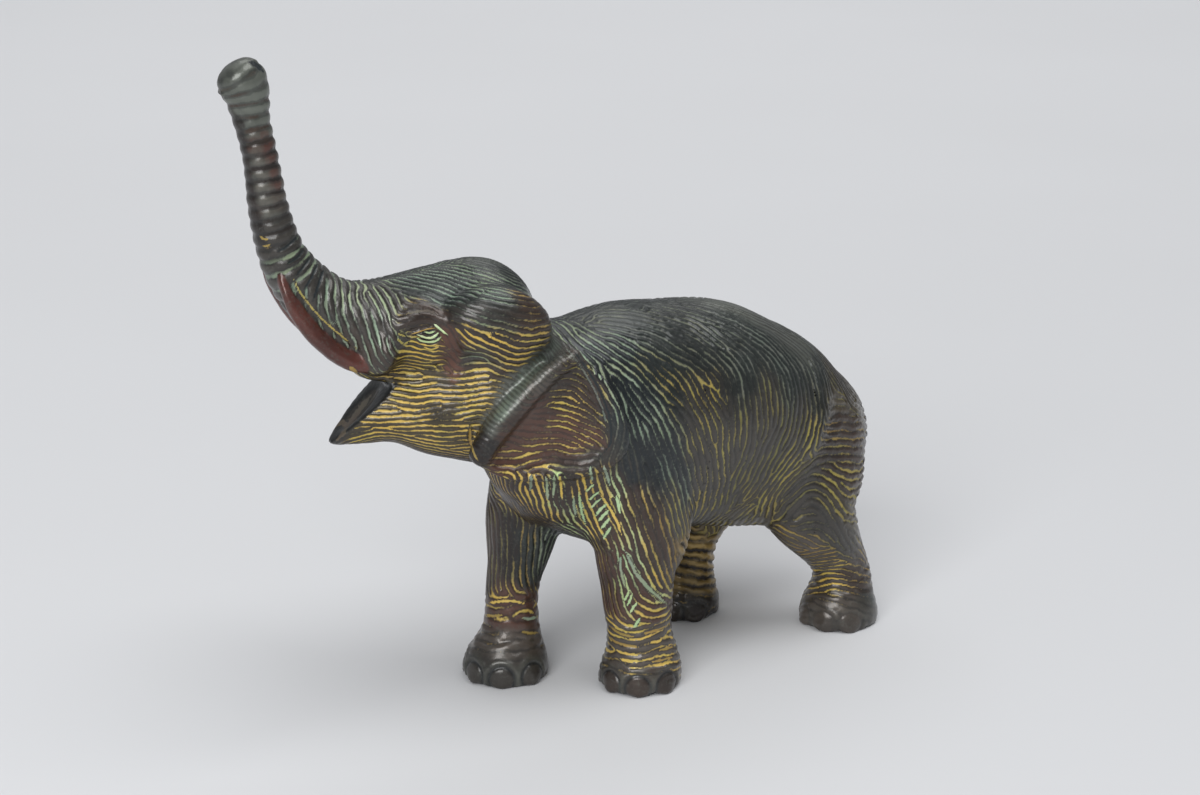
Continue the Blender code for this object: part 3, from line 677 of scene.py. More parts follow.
# The trunk's rings set the strokes there, in step with the solid's; their points come back.
def ringWaves(arrays, wave, phase):
    line = headPlaces([(ahead, 0.0, up) for ahead, up in smoothLine(trunk["path"], 8)])
    index, run, gap, heading = alongLine(line, arrays["co"], trunk["reach"])
    mine = (run > trunk["ringStart"]) & (gap < trunk["reach"])
    rings = index[mine]
    normal = arrays["no"][rings]
    heading = heading[mine]
    heading = unit(heading - (heading * normal).sum(1)[:, None] * normal)
    wave[rings] = heading * (2 * math.pi / trunk["ringPitch"])
    phase[rings] = np.exp(2j * math.pi * run[mine] / trunk["ringPitch"])
    return rings


# White noise drawn out along the strokes, for their breaks and swellings.
def streaks(arrays, along, rounds):
    first = arrays["starts"][arrays["sizes"] == 4]
    quads = arrays["corners"][first[:, None] + np.arange(4)]
    pairs = np.vstack([arrays["edges"], quads[:, [0, 2]], quads[:, [1, 3]]])
    a, b = pairs.T
    step = unit(arrays["co"][b] - arrays["co"][a])
    flat = unit(along - (along * arrays["no"]).sum(1)[:, None] * arrays["no"])
    weight = np.abs((step * flat[a]).sum(1)) ** flow["streakFocus"] + flow["streakLeak"]
    count = len(along)
    total = np.bincount(a, weight, count) + np.bincount(b, weight, count)
    noise = np.random.default_rng(skin["seed"]).normal(size=count)
    for _ in range(rounds):
        spread = np.bincount(a, weight * noise[b], count) + np.bincount(b, weight * noise[a], count)
        noise = 0.3 * noise + 0.7 * spread / total
    return np.clip((noise - noise.mean()) / noise.std(), -2, 2)


# Single marks: width mm, lift mm and colour; pixels of each.
marks = {"head": [
    # Eye: rear lid, lid edge, iris, eyeball, lower lid and the folds below.
    ((0.8, 0.30, "paleMint"), [(434, 324), (439, 328), (448, 335)]),
    ((0.5, 0.10, "goldBrown"), [(411, 334), (419, 332), (428, 329), (435, 328)]),
    ((0.5, -0.35, "night"), [(413, 336), (420, 333), (428, 331), (436, 329)]),
    ((0.6, 0.12, "mint"), [(425, 332), (430, 333), (435, 331)]),
    ((0.4, -0.30, "night"), [(422, 333), (426, 334), (431, 335), (436, 332)]),
    ((0.9, 0.25, "paleMint"), [(418, 335), (424, 337), (430, 338), (435, 336), (438, 333)]),
    ((0.4, -0.40, "night"), [(417, 336), (424, 339), (431, 340), (438, 337), (440, 334)]),
    ((0.75, 0.15, "mint"), [(417, 338), (422, 341), (429, 342), (436, 341), (441, 337)]),
    ((0.35, -0.25, "umber"), [(419, 342), (426, 344), (434, 344), (441, 340)]),
    ((0.5, 0.05, "gold"),
     [(419, 344), (425, 345), (431, 346), (438, 344)],
     [(424, 347), (429, 349), (434, 349), (439, 347)]),
    ((0.6, 0.10, "oliveGold"),
     [(398, 333), (401, 335), (405, 336)], [(397, 339), (400, 341), (404, 344), (409, 341)],
     [(411, 338), (414, 337), (417, 337)]),
    # The brow's pale upper edge is a painted highlight.
    ((0.8, 0.05, "warmGrey"), [(407, 314), (415, 312), (428, 311), (437, 315)]),
    # The lower lip's paler rim.
    ((2.4, 0.05, "warmGrey"), [(337, 440), (347, 427), (359, 411), (371, 395)]),
    # Nostril and the lip of the trunk's tip.
    ((2.6, -0.45, "night"), [(250, 62), (257, 64), (263, 71)]),
    ((1.8, -0.10, "umber"), [(221, 94), (223, 103), (227, 111)]),
    # Along the tusk's upper edge, the lip corner and the trunk's underside.
    ((0.6, -0.10, "oliveGold"),
     [(292, 276), (300, 292), (311, 307), (322, 319), (333, 329), (345, 339), (356, 349)]),
    ((1.6, 0.10, "goldBrown"), [(350, 367), (354, 371), (359, 376)]),
    ((0.8, 0.05, "goldBrown"),
     [(260, 237), (264, 239), (268, 239)], [(263, 246), (267, 246), (270, 244)]),
    # Lower trunk grooves between the rings and the root.
    ((0.9, -0.35, "night"),
     [(277, 252), (289, 245), (301, 232)], [(287, 264), (299, 256), (309, 241)],
     [(296, 276), (306, 264), (315, 249)], [(304, 290), (313, 275), (320, 258)],
     [(313, 301), (319, 285), (325, 266)]),
    # The ear's dark rim and its gold edge toward the cheek.
    ((0.9, -0.20, "goldBrown"), [(470, 425), (470, 438), (473, 452), (478, 461)]),
    ((0.8, -0.10, "night"),
     [(568, 345), (582, 362), (596, 384), (606, 406), (611, 428), (610, 444), (600, 457)]),
    ((0.7, 0.10, "stone"), [(560, 343), (574, 357), (590, 382), (602, 408), (607, 430)]),
], "body": [
    # Short bright cuts on the shoulder, down to the leg.
    ((0.8, -0.20, "mint"), [(587, 492), (590, 488), (594, 485)]),
    ((0.9, -0.22, "mint"), [(589, 501), (594, 496), (599, 492)], [(592, 508), (596, 503), (601, 499)]),
    ((1.0, -0.25, "mint"),
     [(596, 516), (600, 510), (606, 505)], [(599, 521), (603, 516), (608, 511)],
     [(601, 529), (605, 524), (609, 519)]),
    ((0.9, -0.25, "mint"), [(603, 539), (607, 533), (611, 527)]),
    ((0.9, -0.22, "mint"), [(616, 496), (618, 504), (620, 513)]),
    ((0.8, -0.22, "mint"), [(579, 493), (580, 503), (582, 513), (586, 526)]),
    ((0.8, -0.20, "paleVerdigris"),
     [(574, 497), (574, 507), (576, 517)], [(590, 466), (591, 473), (593, 481)]),
    ((0.9, -0.20, "paleVerdigris"), [(604, 466), (607, 475), (610, 486)]),
    ((0.9, -0.20, "gold"), [(600, 494), (608, 506), (616, 520), (622, 536)]),
    ((0.9, -0.22, "paleVerdigris"), [(546, 477), (547, 488), (548, 500)]),
    ((0.8, -0.20, "verdigris"), [(532, 475), (531, 483), (530, 491)]),
    ((0.8, -0.20, "paleVerdigris"), [(554, 475), (554, 486), (553, 498)]),
    ((0.8, -0.20, "gold"), [(560, 477), (561, 488), (562, 499)]),
    # Long and short cuts on the front of the near leg.
    ((0.9, -0.22, "paleVerdigris"),
     [(625, 551), (630, 562), (638, 577), (648, 588), (660, 598), (670, 607)]),
    ((0.8, -0.20, "paleVerdigris"),
     [(636, 572), (645, 583), (655, 594), (664, 601)],
     [(621, 556), (620, 566), (622, 577), (625, 588)]),
    ((0.8, -0.20, "mint"), [(624, 601), (627, 596), (629, 591)], [(627, 606), (630, 600), (632, 594)]),
    ((0.9, -0.20, "mint"), [(630, 613), (633, 608), (637, 603)], [(634, 628), (637, 623), (640, 618)]),
    # Wrinkles over the near front foot.
    ((1.0, -0.30, "goldBrown"), [(605, 622), (614, 630), (624, 635), (634, 637)]),
    ((0.9, -0.25, "goldBrown"),
     [(642, 634), (655, 631), (670, 625)], [(608, 636), (616, 642), (628, 646), (640, 647)]),
    ((0.9, -0.25, "gold"),
     [(650, 642), (656, 642), (663, 640)], [(615, 650), (626, 654), (638, 655)],
     [(619, 659), (630, 661), (641, 661)]),
    ((0.8, -0.20, "goldBrown"),
     [(658, 650), (666, 649), (675, 646)], [(652, 662), (662, 660), (674, 657)]),
    # Wrinkles over the far front foot.
    ((0.9, -0.20, "gold"), [(487, 603), (498, 602), (511, 601), (525, 604)]),
    ((0.9, -0.20, "goldBrown"), [(486, 615), (494, 616), (502, 615)]),
    ((0.9, -0.20, "paleVerdigris"), [(522, 618), (530, 619), (537, 617)]),
    ((0.9, -0.20, "goldBrown"), [(522, 632), (531, 633), (539, 633)]),
]}


# A mark from its middle out, in shares of its width: where its cut ends and where the strokes
# beside it come back, how far they are cleared, and how rough its edge is.
markCut = {
    "core": (0.2, 0.75),
    "beside": (0.5, 1.3),
    "cleared": 0.8,
    "rough": 0.22,
    "roughLength": 1.6 * mm,
    "seed": 33,
}


# The hand-cut marks: single tapered strokes laid over the even ones.
def layMarks(tree, fine, finish):
    places, shapes = [], []
    for (width, lift, tint), (line, _, _) in linesOnSkin(tree, marks, 14):
        spot = np.linspace(0, 1, len(line))
        taper = np.clip(7 * spot * (1 - spot), 0.4, 1)
        size = np.outer(taper, (width * mm, lift * mm))
        places.append(line)
        shapes.append(np.column_stack([size, np.tile(linear(patina[tint]), (len(line), 1))]))
    lookup = pointTree(np.concatenate(places))
    found = [lookup.find(place)[1:] for place in fine["co"].tolist()]
    shape = np.concatenate(shapes)[np.array([hit[0] for hit in found])]
    rough = 1 + markCut["rough"] * waves(fine["co"], markCut["roughLength"], markCut["seed"])
    gap = np.array([hit[1] for hit in found]) * rough
    width, lift, tint = shape[:, 0], shape[:, 1], shape[:, 2:]
    core = 1 - smoothStep(gap, *np.outer(markCut["core"], width))
    aside = 1 - smoothStep(gap, *np.outer(markCut["beside"], width))
    kept = 1 - markCut["cleared"] * aside
    finish["fill"] = np.maximum(finish["fill"] * kept, core)
    finish["lift"] = finish["lift"] * kept + lift * core
    finish["line"] += (tint - finish["line"]) * smoothStep(aside, 0.1, 0.5)[:, None]


# Soft swells and hollows under the strokes: width mm and lift mm; pixels of each.
swells = {"head": [
    ((6.0, 0.55), [(402, 324), (410, 319), (422, 317), (434, 320), (442, 327)]),
    ((1.6, -0.45), [(407, 332), (416, 329), (426, 327), (434, 326)]),
    ((3.4, 0.35), [(421, 336), (429, 338), (437, 334)]),
    ((2.4, -0.40), [(398, 346), (406, 350), (414, 346)]),
    ((2.0, 0.40), [(566, 343), (584, 362), (600, 388), (609, 415), (611, 436), (602, 454), (582, 466)]),
    ((2.6, -0.35), [(560, 352), (578, 370), (592, 394), (600, 418), (601, 438)]),
    ((3.0, 0.60), [(222, 92), (223, 102), (228, 112)]),
    ((2.4, -0.50), [(236, 104), (238, 114), (240, 124)]),
    ((2.2, 0.35), [(370, 330), (380, 348), (392, 358)]),
    ((1.8, -0.35), [(378, 326), (388, 342), (400, 350)]),
], "body": [
    ((9.0, 0.80), [(780, 324), (806, 346), (822, 378), (824, 410), (816, 440), (800, 465)]),
    ((6.0, -0.50), [(838, 396), (836, 420), (828, 446), (812, 472)]),
    ((7.0, 0.50), [(606, 360), (632, 378), (656, 400), (674, 428)]),
    ((6.0, 0.50), [(846, 556), (856, 576), (866, 592)]),
]}


# Swells and hollows leave the strokes and the colours alone.
def laySwells(tree, fine, finish):
    for (width, lift), (line, _, _) in linesOnSkin(tree, swells, 6):
        index, run, gap, _ = alongLine(line, fine["co"], width * mm)
        if len(index) == 0:
            continue
        spot = run / max(run.max(), 1e-9)
        fade = smoothStep(spot, 0, 0.2) * smoothStep(1 - spot, 0, 0.2)
        bulge = 1 - smoothStep(gap, 0, 0.75 * width * mm)
        finish["lift"][index] += lift * mm * bulge * (0.3 + 0.7 * fade)


# Broad washes of patina and of painted sheen and highlight: width mm, strength, how far the strokes fade
# and colour; pixels of each.
washes = {"head": [
    # The dark strip under the trunk, then red brown patches on its rings and a pale band down them that
    # is a painted highlight.
    ((7.0, 0.85, 0.5, "darkUmber"), [(234, 122), (243, 157), (248, 190), (253, 215), (260, 240)]),
    ((4.0, 0.50, 0.0, "oxblood"), [(264, 134), (272, 158), (278, 185)]),
    # A painted highlight down the trunk's rings.
    ((5.0, 0.35, 0.0, "stone"), [(256, 150), (260, 172), (264, 196), (272, 216)]),
    # The trunk's dark root above the mouth, and the hollow ahead of the eye.
    ((8.0, 0.60, 0.3, "umber"), [(346, 336), (362, 348), (380, 362)]),
    ((7.0, 0.55, 0.3, "umber"), [(390, 344), (398, 358), (392, 372)]),
    # Behind the eye, the red-brown patina with a painted sheen on it, and the pale half of the ear's
    # ridge.
    ((6.0, 0.70, 0.4, "rustWithSheen"), [(449, 336), (452, 352), (454, 372)]),
    ((4.5, 0.60, 0.2, "verdigris"), [(556, 344), (538, 365), (518, 389), (498, 416)]),
    # The crown's pale top, a painted sheen of the light from above.
    ((9.0, 0.35, 0.2, "stone"), [(400, 270), (430, 261), (462, 256), (490, 260)]),
], "body": [
    # Warm brown over the toes.
    ((9.0, 0.45, 0.2, "warmGrey"),
     [(812, 606), (836, 600), (860, 606), (878, 618)], [(478, 640), (504, 650), (530, 646)]),
]}


# A wash's edge: where it starts and ends in shares of its width, and how uneven it is.
washEdge = {
    "shares": (0.25, 0.7),
    "uneven": 0.3,
    "unevenLength": 3.0 * mm,
    "seed": 51,
}


# Washes tint the ground, with uneven edges.
def layWashes(tree, fine, finish):
    for (width, strength, fade, tint), (line, _, _) in linesOnSkin(tree, washes, 6):
        index, _, gap, _ = alongLine(line, fine["co"], width * mm)
        if len(index) == 0:
            continue
        stray = waves(fine["co"][index], washEdge["unevenLength"], washEdge["seed"])
        start, end = (share * width * mm for share in washEdge["shares"])
        share = strength * (1 - smoothStep(gap * (1 + washEdge["uneven"] * stray), start, end))
        finish["ground"][index] = toward(finish["ground"][index], tint, share)
        finish["fill"][index] *= 1 - fade * share
        finish["lift"][index] *= 1 - fade * share


# Feet, in hundredths of the height: ahead, left, half length and half width; then the share of
# relief that their nails have, and the nails' turns in degrees.
feet = {
    "leftFront": (14.2, 8.2, 6.2, 6.0, 1.0, (0, 45, -45, 90, -90)),
    "rightFront": (27.7, -8.2, 6.6, 6.4, 1.0, (0, 45, -45, 90, -90)),
    "leftHind": (-27.8, 10.0, 6.4, 6.2, 0.4, (20, 62, -22, -64)),
    "rightHind": (-11.2, -9.2, 5.5, 5.4, 0.4, (22, 64, -20, -62)),
}

# One nail: its size and place, the relief in mm of its dome, groove and fold, and how far it counts.
nail = {
    "halfWidth": 2.05 * head["share"],
    "halfHeight": 2.1 * head["share"],
    "middle": 1.4 * head["share"],
    "origin": (0.03365, -0.00395),
    "dome": 0.12,
    "groove": 0.42,
    "fold": 0.25,
    "grooveWidth": 0.13,
    "foldPlace": 1.32,
    "foldWidth": 0.2,
    "reach": 13.0 * mm,
    "behind": 4.0 * mm,
    "soleFade": (0.3 * mm, 1.5 * mm),
}


# The nails: a low dome in a groove, with a fold of skin round it.
def layNails(fine, finish):
    co = fine["co"]
    for ahead, left, halfLength, halfWidth, relief, turns in feet.values():
        for turn in turns:
            angle = math.radians(turn)
            out = np.array([-math.cos(angle), -math.sin(angle), 0.0])
            aside = np.array([-out[1], out[0], 0.0])
            centre = np.array([-ahead, -left, 0.0]) * head["share"]
            centre += np.array([out[0] * halfLength, out[1] * halfWidth, 0.0]) * head["share"]
            centre += np.array([*nail["origin"], 0.0])
            away = co - centre
            close = np.linalg.norm(away, axis=1) < nail["reach"]
            index = np.flatnonzero(close & (away @ out > -nail["behind"]))
            across = away[index] @ aside / nail["halfWidth"]
            high = (co[index, 2] - nail["middle"]) / nail["halfHeight"]
            reach = np.sqrt(across ** 2 + high ** 2)
            inside = 1 - smoothStep(reach, 0.8, 1.0)
            groove = np.exp(-((reach - 1.0) / nail["grooveWidth"]) ** 2)
            fold = np.exp(-((reach - nail["foldPlace"]) / nail["foldWidth"]) ** 2)
            aboveSole = smoothStep(co[index, 2], *nail["soleFade"])
            shape = nail["dome"] * inside - nail["groove"] * groove + nail["fold"] * fold
            finish["lift"][index] += shape * mm * aboveSole * relief
            finish["fill"][index] *= 1 - np.maximum(inside, groove)
            for share, tint in ((0.4 * inside, "slate"), (0.8 * groove, "night"), (0.3 * fold, "stone")):
                finish["ground"][index] = toward(finish["ground"][index], tint, relief * share)


# The left tusk, in hundredths of the height: ahead, left, up and radius; the right one ends
# further ahead and up.
tusk = {
    "path": [(29.6, 3.4, 56.0, 1.3), (33.2, 4.3, 55.4, 1.35), (36.9, 4.6, 57.4, 1.35),
             (40.0, 4.5, 60.5, 1.3), (42.2, 4.3, 63.7, 1.15), (43.6, 3.9, 66.6, 0.9),
             (44.3, 3.4, 69.0, 0.4)],
    "rightAhead": 0.9,
    "rightUp": 1.6,
    "reach": 5.0 * mm,
    "edge": (0.35 * mm, 0.9 * mm),
    "strokesKept": 0.06,
}

# The open mouth, as a wedge seen from the side of the head, in hundredths of the height.
mouth = {
    "profile": [(28.2, 51.8), (37.9, 42.6), (46.0, 42.0), (46.0, 53.6), (34.5, 52.9)],
    "halfWidth": 9.0,
    "edge": (-0.45, -0.1),
    "sideFade": 0.5,
    "strokesKept": 0.12,
}


# A smooth part in its own tint, with only a share of the strokes kept.
def layPlain(finish, mask, tint, keep):
    finish["ground"] = toward(finish["ground"], tint, mask)
    finish["fill"] *= 1 - (1 - keep) * mask
    finish["lift"] *= 1 - (1 - keep) * mask


# The tusks and the inside of the mouth.
def plainParts(fine, finish):
    co = fine["co"]
    last = len(tusk["path"]) - 1
    for side in (1, -1):
        extra = 1 if side < 0 else 0
        rows = [(ahead + extra * tusk["rightAhead"] * i / last, side * left,
                 up + extra * tusk["rightUp"] * i / last, radius)
                for i, (ahead, left, up, radius) in enumerate(tusk["path"])]
        line = smoothLine(rows[1:], 8)
        index, run, gap, _ = alongLine(headPlaces(line[:, :3]), co, tusk["reach"])
        spot = np.linspace(0, 1, len(line))
        radius = np.interp(run / max(run.max(), 1e-9), spot, line[:, 3]) * head["share"]
        near = np.zeros(len(co))
        near[index] = 1 - smoothStep(gap, radius + tusk["edge"][0], radius + tusk["edge"][1])
        layPlain(finish, near, "oxblood", tusk["strokesKept"])
    ahead, left = headAxes()
    local = (co - np.array(head["neck"])) / head["share"]
    forward, aside, up = local @ ahead, local @ left, local[:, 2]
    inside = np.full(len(co), 1.0)
    rows = mouth["profile"]
    for k, (x0, z0) in enumerate(rows):
        x1, z1 = rows[(k + 1) % len(rows)]
        length = math.hypot(x1 - x0, z1 - z0)
        edge = ((x1 - x0) * (up - z0) - (z1 - z0) * (forward - x0)) / length
        inside = np.minimum(inside, smoothStep(edge, *mouth["edge"]))
    inside *= 1 - smoothStep(np.abs(aside), mouth["halfWidth"] - mouth["sideFade"], mouth["halfWidth"])
    layPlain(finish, inside, "throat", mouth["strokesKept"])


# The cut of a stroke: how its line sways and its width changes, each by a share over a length
# and with a seed, and how sharply its fill and its groove end.
cut = {
    "carving": 1.9,
    "sways": ((0.5, 5.5 * mm, 31), (0.28, 1.9 * mm, 32)),
    "ringSway": 0.35,
    "widths": (0.45, 4.0 * mm, 34),
    "fillSharpness": 3.2,
    "grooveSharpness": 1.5,
    "grain": 0.035 * mm,
    "grainDepth": 0.2 * mm,
}


# The finish of each point: how full of patina it is, its lift, and its ground and line colours.
def makeFinish(tree, fine, field, phase):
    count = len(fine["co"])
    depth, strength = field["values"].T[1:]
    streak = streaks(fine, field["along"], flow["streakRounds"])
    sway = sum(share * waves(fine["co"], length, seed) for share, length, seed in cut["sways"])
    onRings = field["rings"] > 0.5
    sway = np.where(onRings, cut["ringSway"] * sway, sway)
    depth = np.where(onRings, trunk["ringDepth"], depth)
    groove = np.clip(0.5 + 0.5 * (phase * np.exp(1j * sway)).real, 0, 1)
    share, length, seed = cut["widths"]
    groove = groove ** np.exp(share * waves(fine["co"], length, seed))
    filling = groove ** cut["fillSharpness"]
    carving = cut["carving"] * groove ** cut["grooveSharpness"]
    finish = {
        "fill": filling * np.clip(strength * (0.85 + 0.28 * streak), 0, 1.2),
        "lift": -depth * carving * np.clip(0.9 + 0.2 * streak, 0.4, 1.4),
        "ground": field["ground"].copy(),
        "line": field["line"].copy(),
    }
    layWashes(tree, fine, finish)
    laySwells(tree, fine, finish)
    plainParts(fine, finish)
    layNails(fine, finish)
    layMarks(tree, fine, finish)
    finish["lift"] += cut["grain"] * streak * np.clip(depth / cut["grainDepth"], 0, 1)
    report("finish laid on %d points" % count)
    return finish


# A node tree that pushes the skin in along its normals by its lift attribute.
def carvingTree():
    tree = bpy.data.node_groups.new("carvedStrokes", "GeometryNodeTree")
    face = tree.interface
    face.new_socket("Geometry", in_out="INPUT", socket_type="NodeSocketGeometry")
    depth = face.new_socket("Depth", in_out="INPUT", socket_type="NodeSocketFloat")
    metal = face.new_socket("Metal", in_out="INPUT", socket_type="NodeSocketMaterial")
    face.new_socket("Geometry", in_out="OUTPUT", socket_type="NodeSocketGeometry")
    source = tree.nodes.new("NodeGroupInput")
    lift = tree.nodes.new("GeometryNodeInputNamedAttribute")
    lift.data_type = "FLOAT"
    lift.inputs["Name"].default_value = "lift"
    scaled = tree.nodes.new("ShaderNodeMath")
    scaled.operation = "MULTIPLY"
    outward = tree.nodes.new("GeometryNodeInputNormal")
    offset = tree.nodes.new("ShaderNodeVectorMath")
    offset.operation = "SCALE"
    push = tree.nodes.new("GeometryNodeSetPosition")
    smooth = tree.nodes.new("GeometryNodeSetShadeSmooth")
    real = tree.nodes.new("GeometryNodeRealizeInstances")
    coat = tree.nodes.new("GeometryNodeSetMaterial")
    end = tree.nodes.new("NodeGroupOutput")
    for first, second in (
        (lift.outputs["Attribute"], scaled.inputs[0]),
        (source.outputs["Depth"], scaled.inputs[1]),
        (outward.outputs["Normal"], offset.inputs[0]),
        (scaled.outputs[0], offset.inputs["Scale"]),
        (source.outputs["Geometry"], push.inputs["Geometry"]),
        (offset.outputs[0], push.inputs["Offset"]),
        (push.outputs["Geometry"], smooth.inputs["Geometry"]),
        (smooth.outputs["Geometry"], real.inputs["Geometry"]),
        (real.outputs["Geometry"], coat.inputs["Geometry"]),
        (source.outputs["Metal"], coat.inputs["Material"]),
        (coat.outputs["Geometry"], end.inputs[0]),
    ):
        tree.links.new(first, second)
    return tree, depth.identifier, metal.identifier


# The carved skin cut across into closed pieces of even size, with the whole skin's normals.
def splitSkin(whole, finish, metal):
    arrays = meshArrays(whole)
    arrays["co"] = np.clip(arrays["co"], cadLow, cadHigh)
    middle = np.add.reduceat(arrays["co"][arrays["corners"], 0], arrays["starts"]) / arrays["sizes"]
    cuts = np.quantile(middle, np.linspace(0, 1, len(skin["pieces"]) + 1))
    cuts[0] -= 1
    cuts[-1] += 1
    made = []
    for k, name in enumerate(skin["pieces"]):
        mine = (middle > cuts[k]) & (middle <= cuts[k + 1])
        sizes = arrays["sizes"][mine]
        used, corner = np.unique(arrays["corners"][np.repeat(mine, arrays["sizes"])], return_inverse=True)
        mesh = bpy.data.meshes.new(name)
        mesh.vertices.add(len(used))
        mesh.vertices.foreach_set("co", arrays["co"][used].astype(np.float32).ravel())
        mesh.loops.add(len(corner))
        mesh.loops.foreach_set("vertex_index", corner.ravel().astype(np.int32))
        mesh.polygons.add(len(sizes))
        mesh.polygons.foreach_set("loop_start", (np.cumsum(sizes) - sizes).astype(np.int32))
        mesh.update(calc_edges=True)
        bm = bmesh.new()
        bm.from_mesh(mesh)
        bmesh.ops.holes_fill(bm, edges=[edge for edge in bm.edges if edge.is_boundary], sides=0)
        bmesh.ops.triangulate(bm, faces=[face for face in bm.faces if len(face.verts) > 12])
        bm.to_mesh(mesh)
        bm.free()
        mesh.shade_smooth()
        mesh.normals_split_custom_set_from_vertices(arrays["no"][used].tolist())
        mesh.attributes.new("fill", "FLOAT", "POINT").data.foreach_set(
            "value", finish["fill"][used].astype(np.float32))
        for key in ("ground", "line"):
            rgba = np.column_stack([finish[key][used], np.ones(len(used))]).astype(np.float32)
            mesh.attributes.new(key, "FLOAT_COLOR", "POINT").data.foreach_set("color", rgba.ravel())
        mesh.materials.append(metal)
        made.append(newObject(name, mesh))
    return made


# The whole sculpture: even skin, strokes spaced from coarse to fine, finish, carving, pieces.
def makeElephant():
    coarseMesh, middleMesh = roundedCad(1), roundedCad(2)
    fineMesh = evenSkin(middleMesh)
    coarse, middle = meshArrays(coarseMesh), meshArrays(middleMesh)
    tree = BVHTree.FromPolygons(middle["co"].tolist(), middle["corners"].reshape(-1, 4).tolist())
    refineEyes(fineMesh, tree)
    fine = meshArrays(fineMesh)
    report("even skin of %d points" % len(fine["co"]))

    field = blendSamples(strokeSamples(tree), coarse)
    wave = waveVector(coarse, field["along"], field["values"][:, 0])
    rng = np.random.default_rng(skin["seed"])
    phase = np.exp(2j * math.pi * rng.random(len(wave)))
    rings = ringWaves(coarse, wave, phase)
    phase = relaxPhase(coarse, wave, phase, flow["coarseRounds"], rings)
    report("strokes spaced")
    stages = ((coarse, middle, flow["middleRounds"]), (middle, fine, flow["fineRounds"]))
    for rough, finer, rounds in stages:
        which, share = nearestFour(rough, finer)
        field = {key: carryValues(value, which, share) for key, value in field.items()}
        finerWave = waveVector(finer, field["along"], field["values"][:, 0])
        phase = carryPhase(rough, wave, phase, which, share, finer, finerWave)
        rings = ringWaves(finer, finerWave, phase)
        phase = relaxPhase(finer, finerWave, phase, rounds, rings)
        wave = finerWave
    report("strokes carried to the even skin")

    field["rings"] = np.zeros(len(phase))
    field["rings"][rings] = 1.0
    finish = makeFinish(tree, fine, field, phase)
    fineMesh.attributes.new("lift", "FLOAT", "POINT").data.foreach_set(
        "value", finish["lift"].astype(np.float32))
    metal = bronzeMaterial()
    whole = newObject("whole", fineMesh)
    node, depthInput, metalInput = carvingTree()
    carving = whole.modifiers.new("carving", "NODES")
    carving.node_group = node
    carving[depthInput] = 1.0
    carving[metalInput] = metal
    carved = finishedMesh(whole)
    made = splitSkin(carved, finish, metal)
    report("skin of %d faces in %d pieces" % (len(carved.polygons), len(made)))
    return made


# A shader value; an expression on it adds its Math nodes.
class Shade:
    def __init__(self, tree, socket=None):
        self.tree = tree
        self.socket = socket

    def node(self, kind, settings=None, inputs=None, output=0):
        made = self.tree.nodes.new(kind)
        for name, value in (settings or {}).items():
            setattr(made, name, value)
        for key, value in (inputs or {}).items():
            if isinstance(value, Shade):
                self.tree.links.new(value.socket, made.inputs[key])
            else:
                made.inputs[key].default_value = value
        return Shade(self.tree, made.outputs[output] if made.outputs else None)

    def noise(self, scale, detail):
        return self.node("ShaderNodeTexNoise", {}, {"Vector": self, "Scale": scale, "Detail": detail})

    def maths(self, operation, first, second):
        return self.node("ShaderNodeMath", {"operation": operation}, {0: first, 1: second})

    def mix(self, share, first, second, blend="MIX"):
        settings = {"data_type": "RGBA", "blend_type": blend}
        return self.node("ShaderNodeMix", settings, {0: share, 6: first, 7: second}, 2)

    def between(self, low, high):
        return self.node("ShaderNodeMapRange", {"interpolation_type": "SMOOTHSTEP"},
                         {"Value": self, "From Min": low, "From Max": high})

    def __add__(self, other):
        return self.maths("ADD", self, other)

    def __sub__(self, other):
        return self.maths("SUBTRACT", self, other)

    def __rsub__(self, other):
        return self.maths("SUBTRACT", other, self)

    def __mul__(self, other):
        return self.maths("MULTIPLY", self, other)

    __radd__ = __add__
    __rmul__ = __mul__


def newMaterial(name):
    material = bpy.data.materials.new(name)
    material.use_nodes = True
    tree = material.node_tree
    tree.nodes.clear()
    return material, Shade(tree)


def colour(rgb):
    return (*linear(rgb), 1.0)


# Patinated bronze: coloured ground, strokes filled with a lighter patina.
bronze = {
    "metallic": 0.35,
    "roughness": 0.36,
    "coat": 0.38,
    "coatRoughness": 0.17,
    "grain": 1100.0,
    "speckle": 320.0,
    "greenPatches": 140.0,
    "cloud": 45.0,
    "cloudShare": 0.45,
    "cloudColour": (0.006, 0.006, 0.006, 1.0),
    "dustShare": 0.22,
    "goldTint": (1.0, 0.93, 0.66, 1.0),
    "goldShare": 0.6,
    "greenTint": (0.90, 1.00, 0.97, 1.0),
    "greenShare": 0.8,
    "edgeShare": 0.5,
    "bump": 0.5,
    "bumpHeight": 0.14 * mm,
}


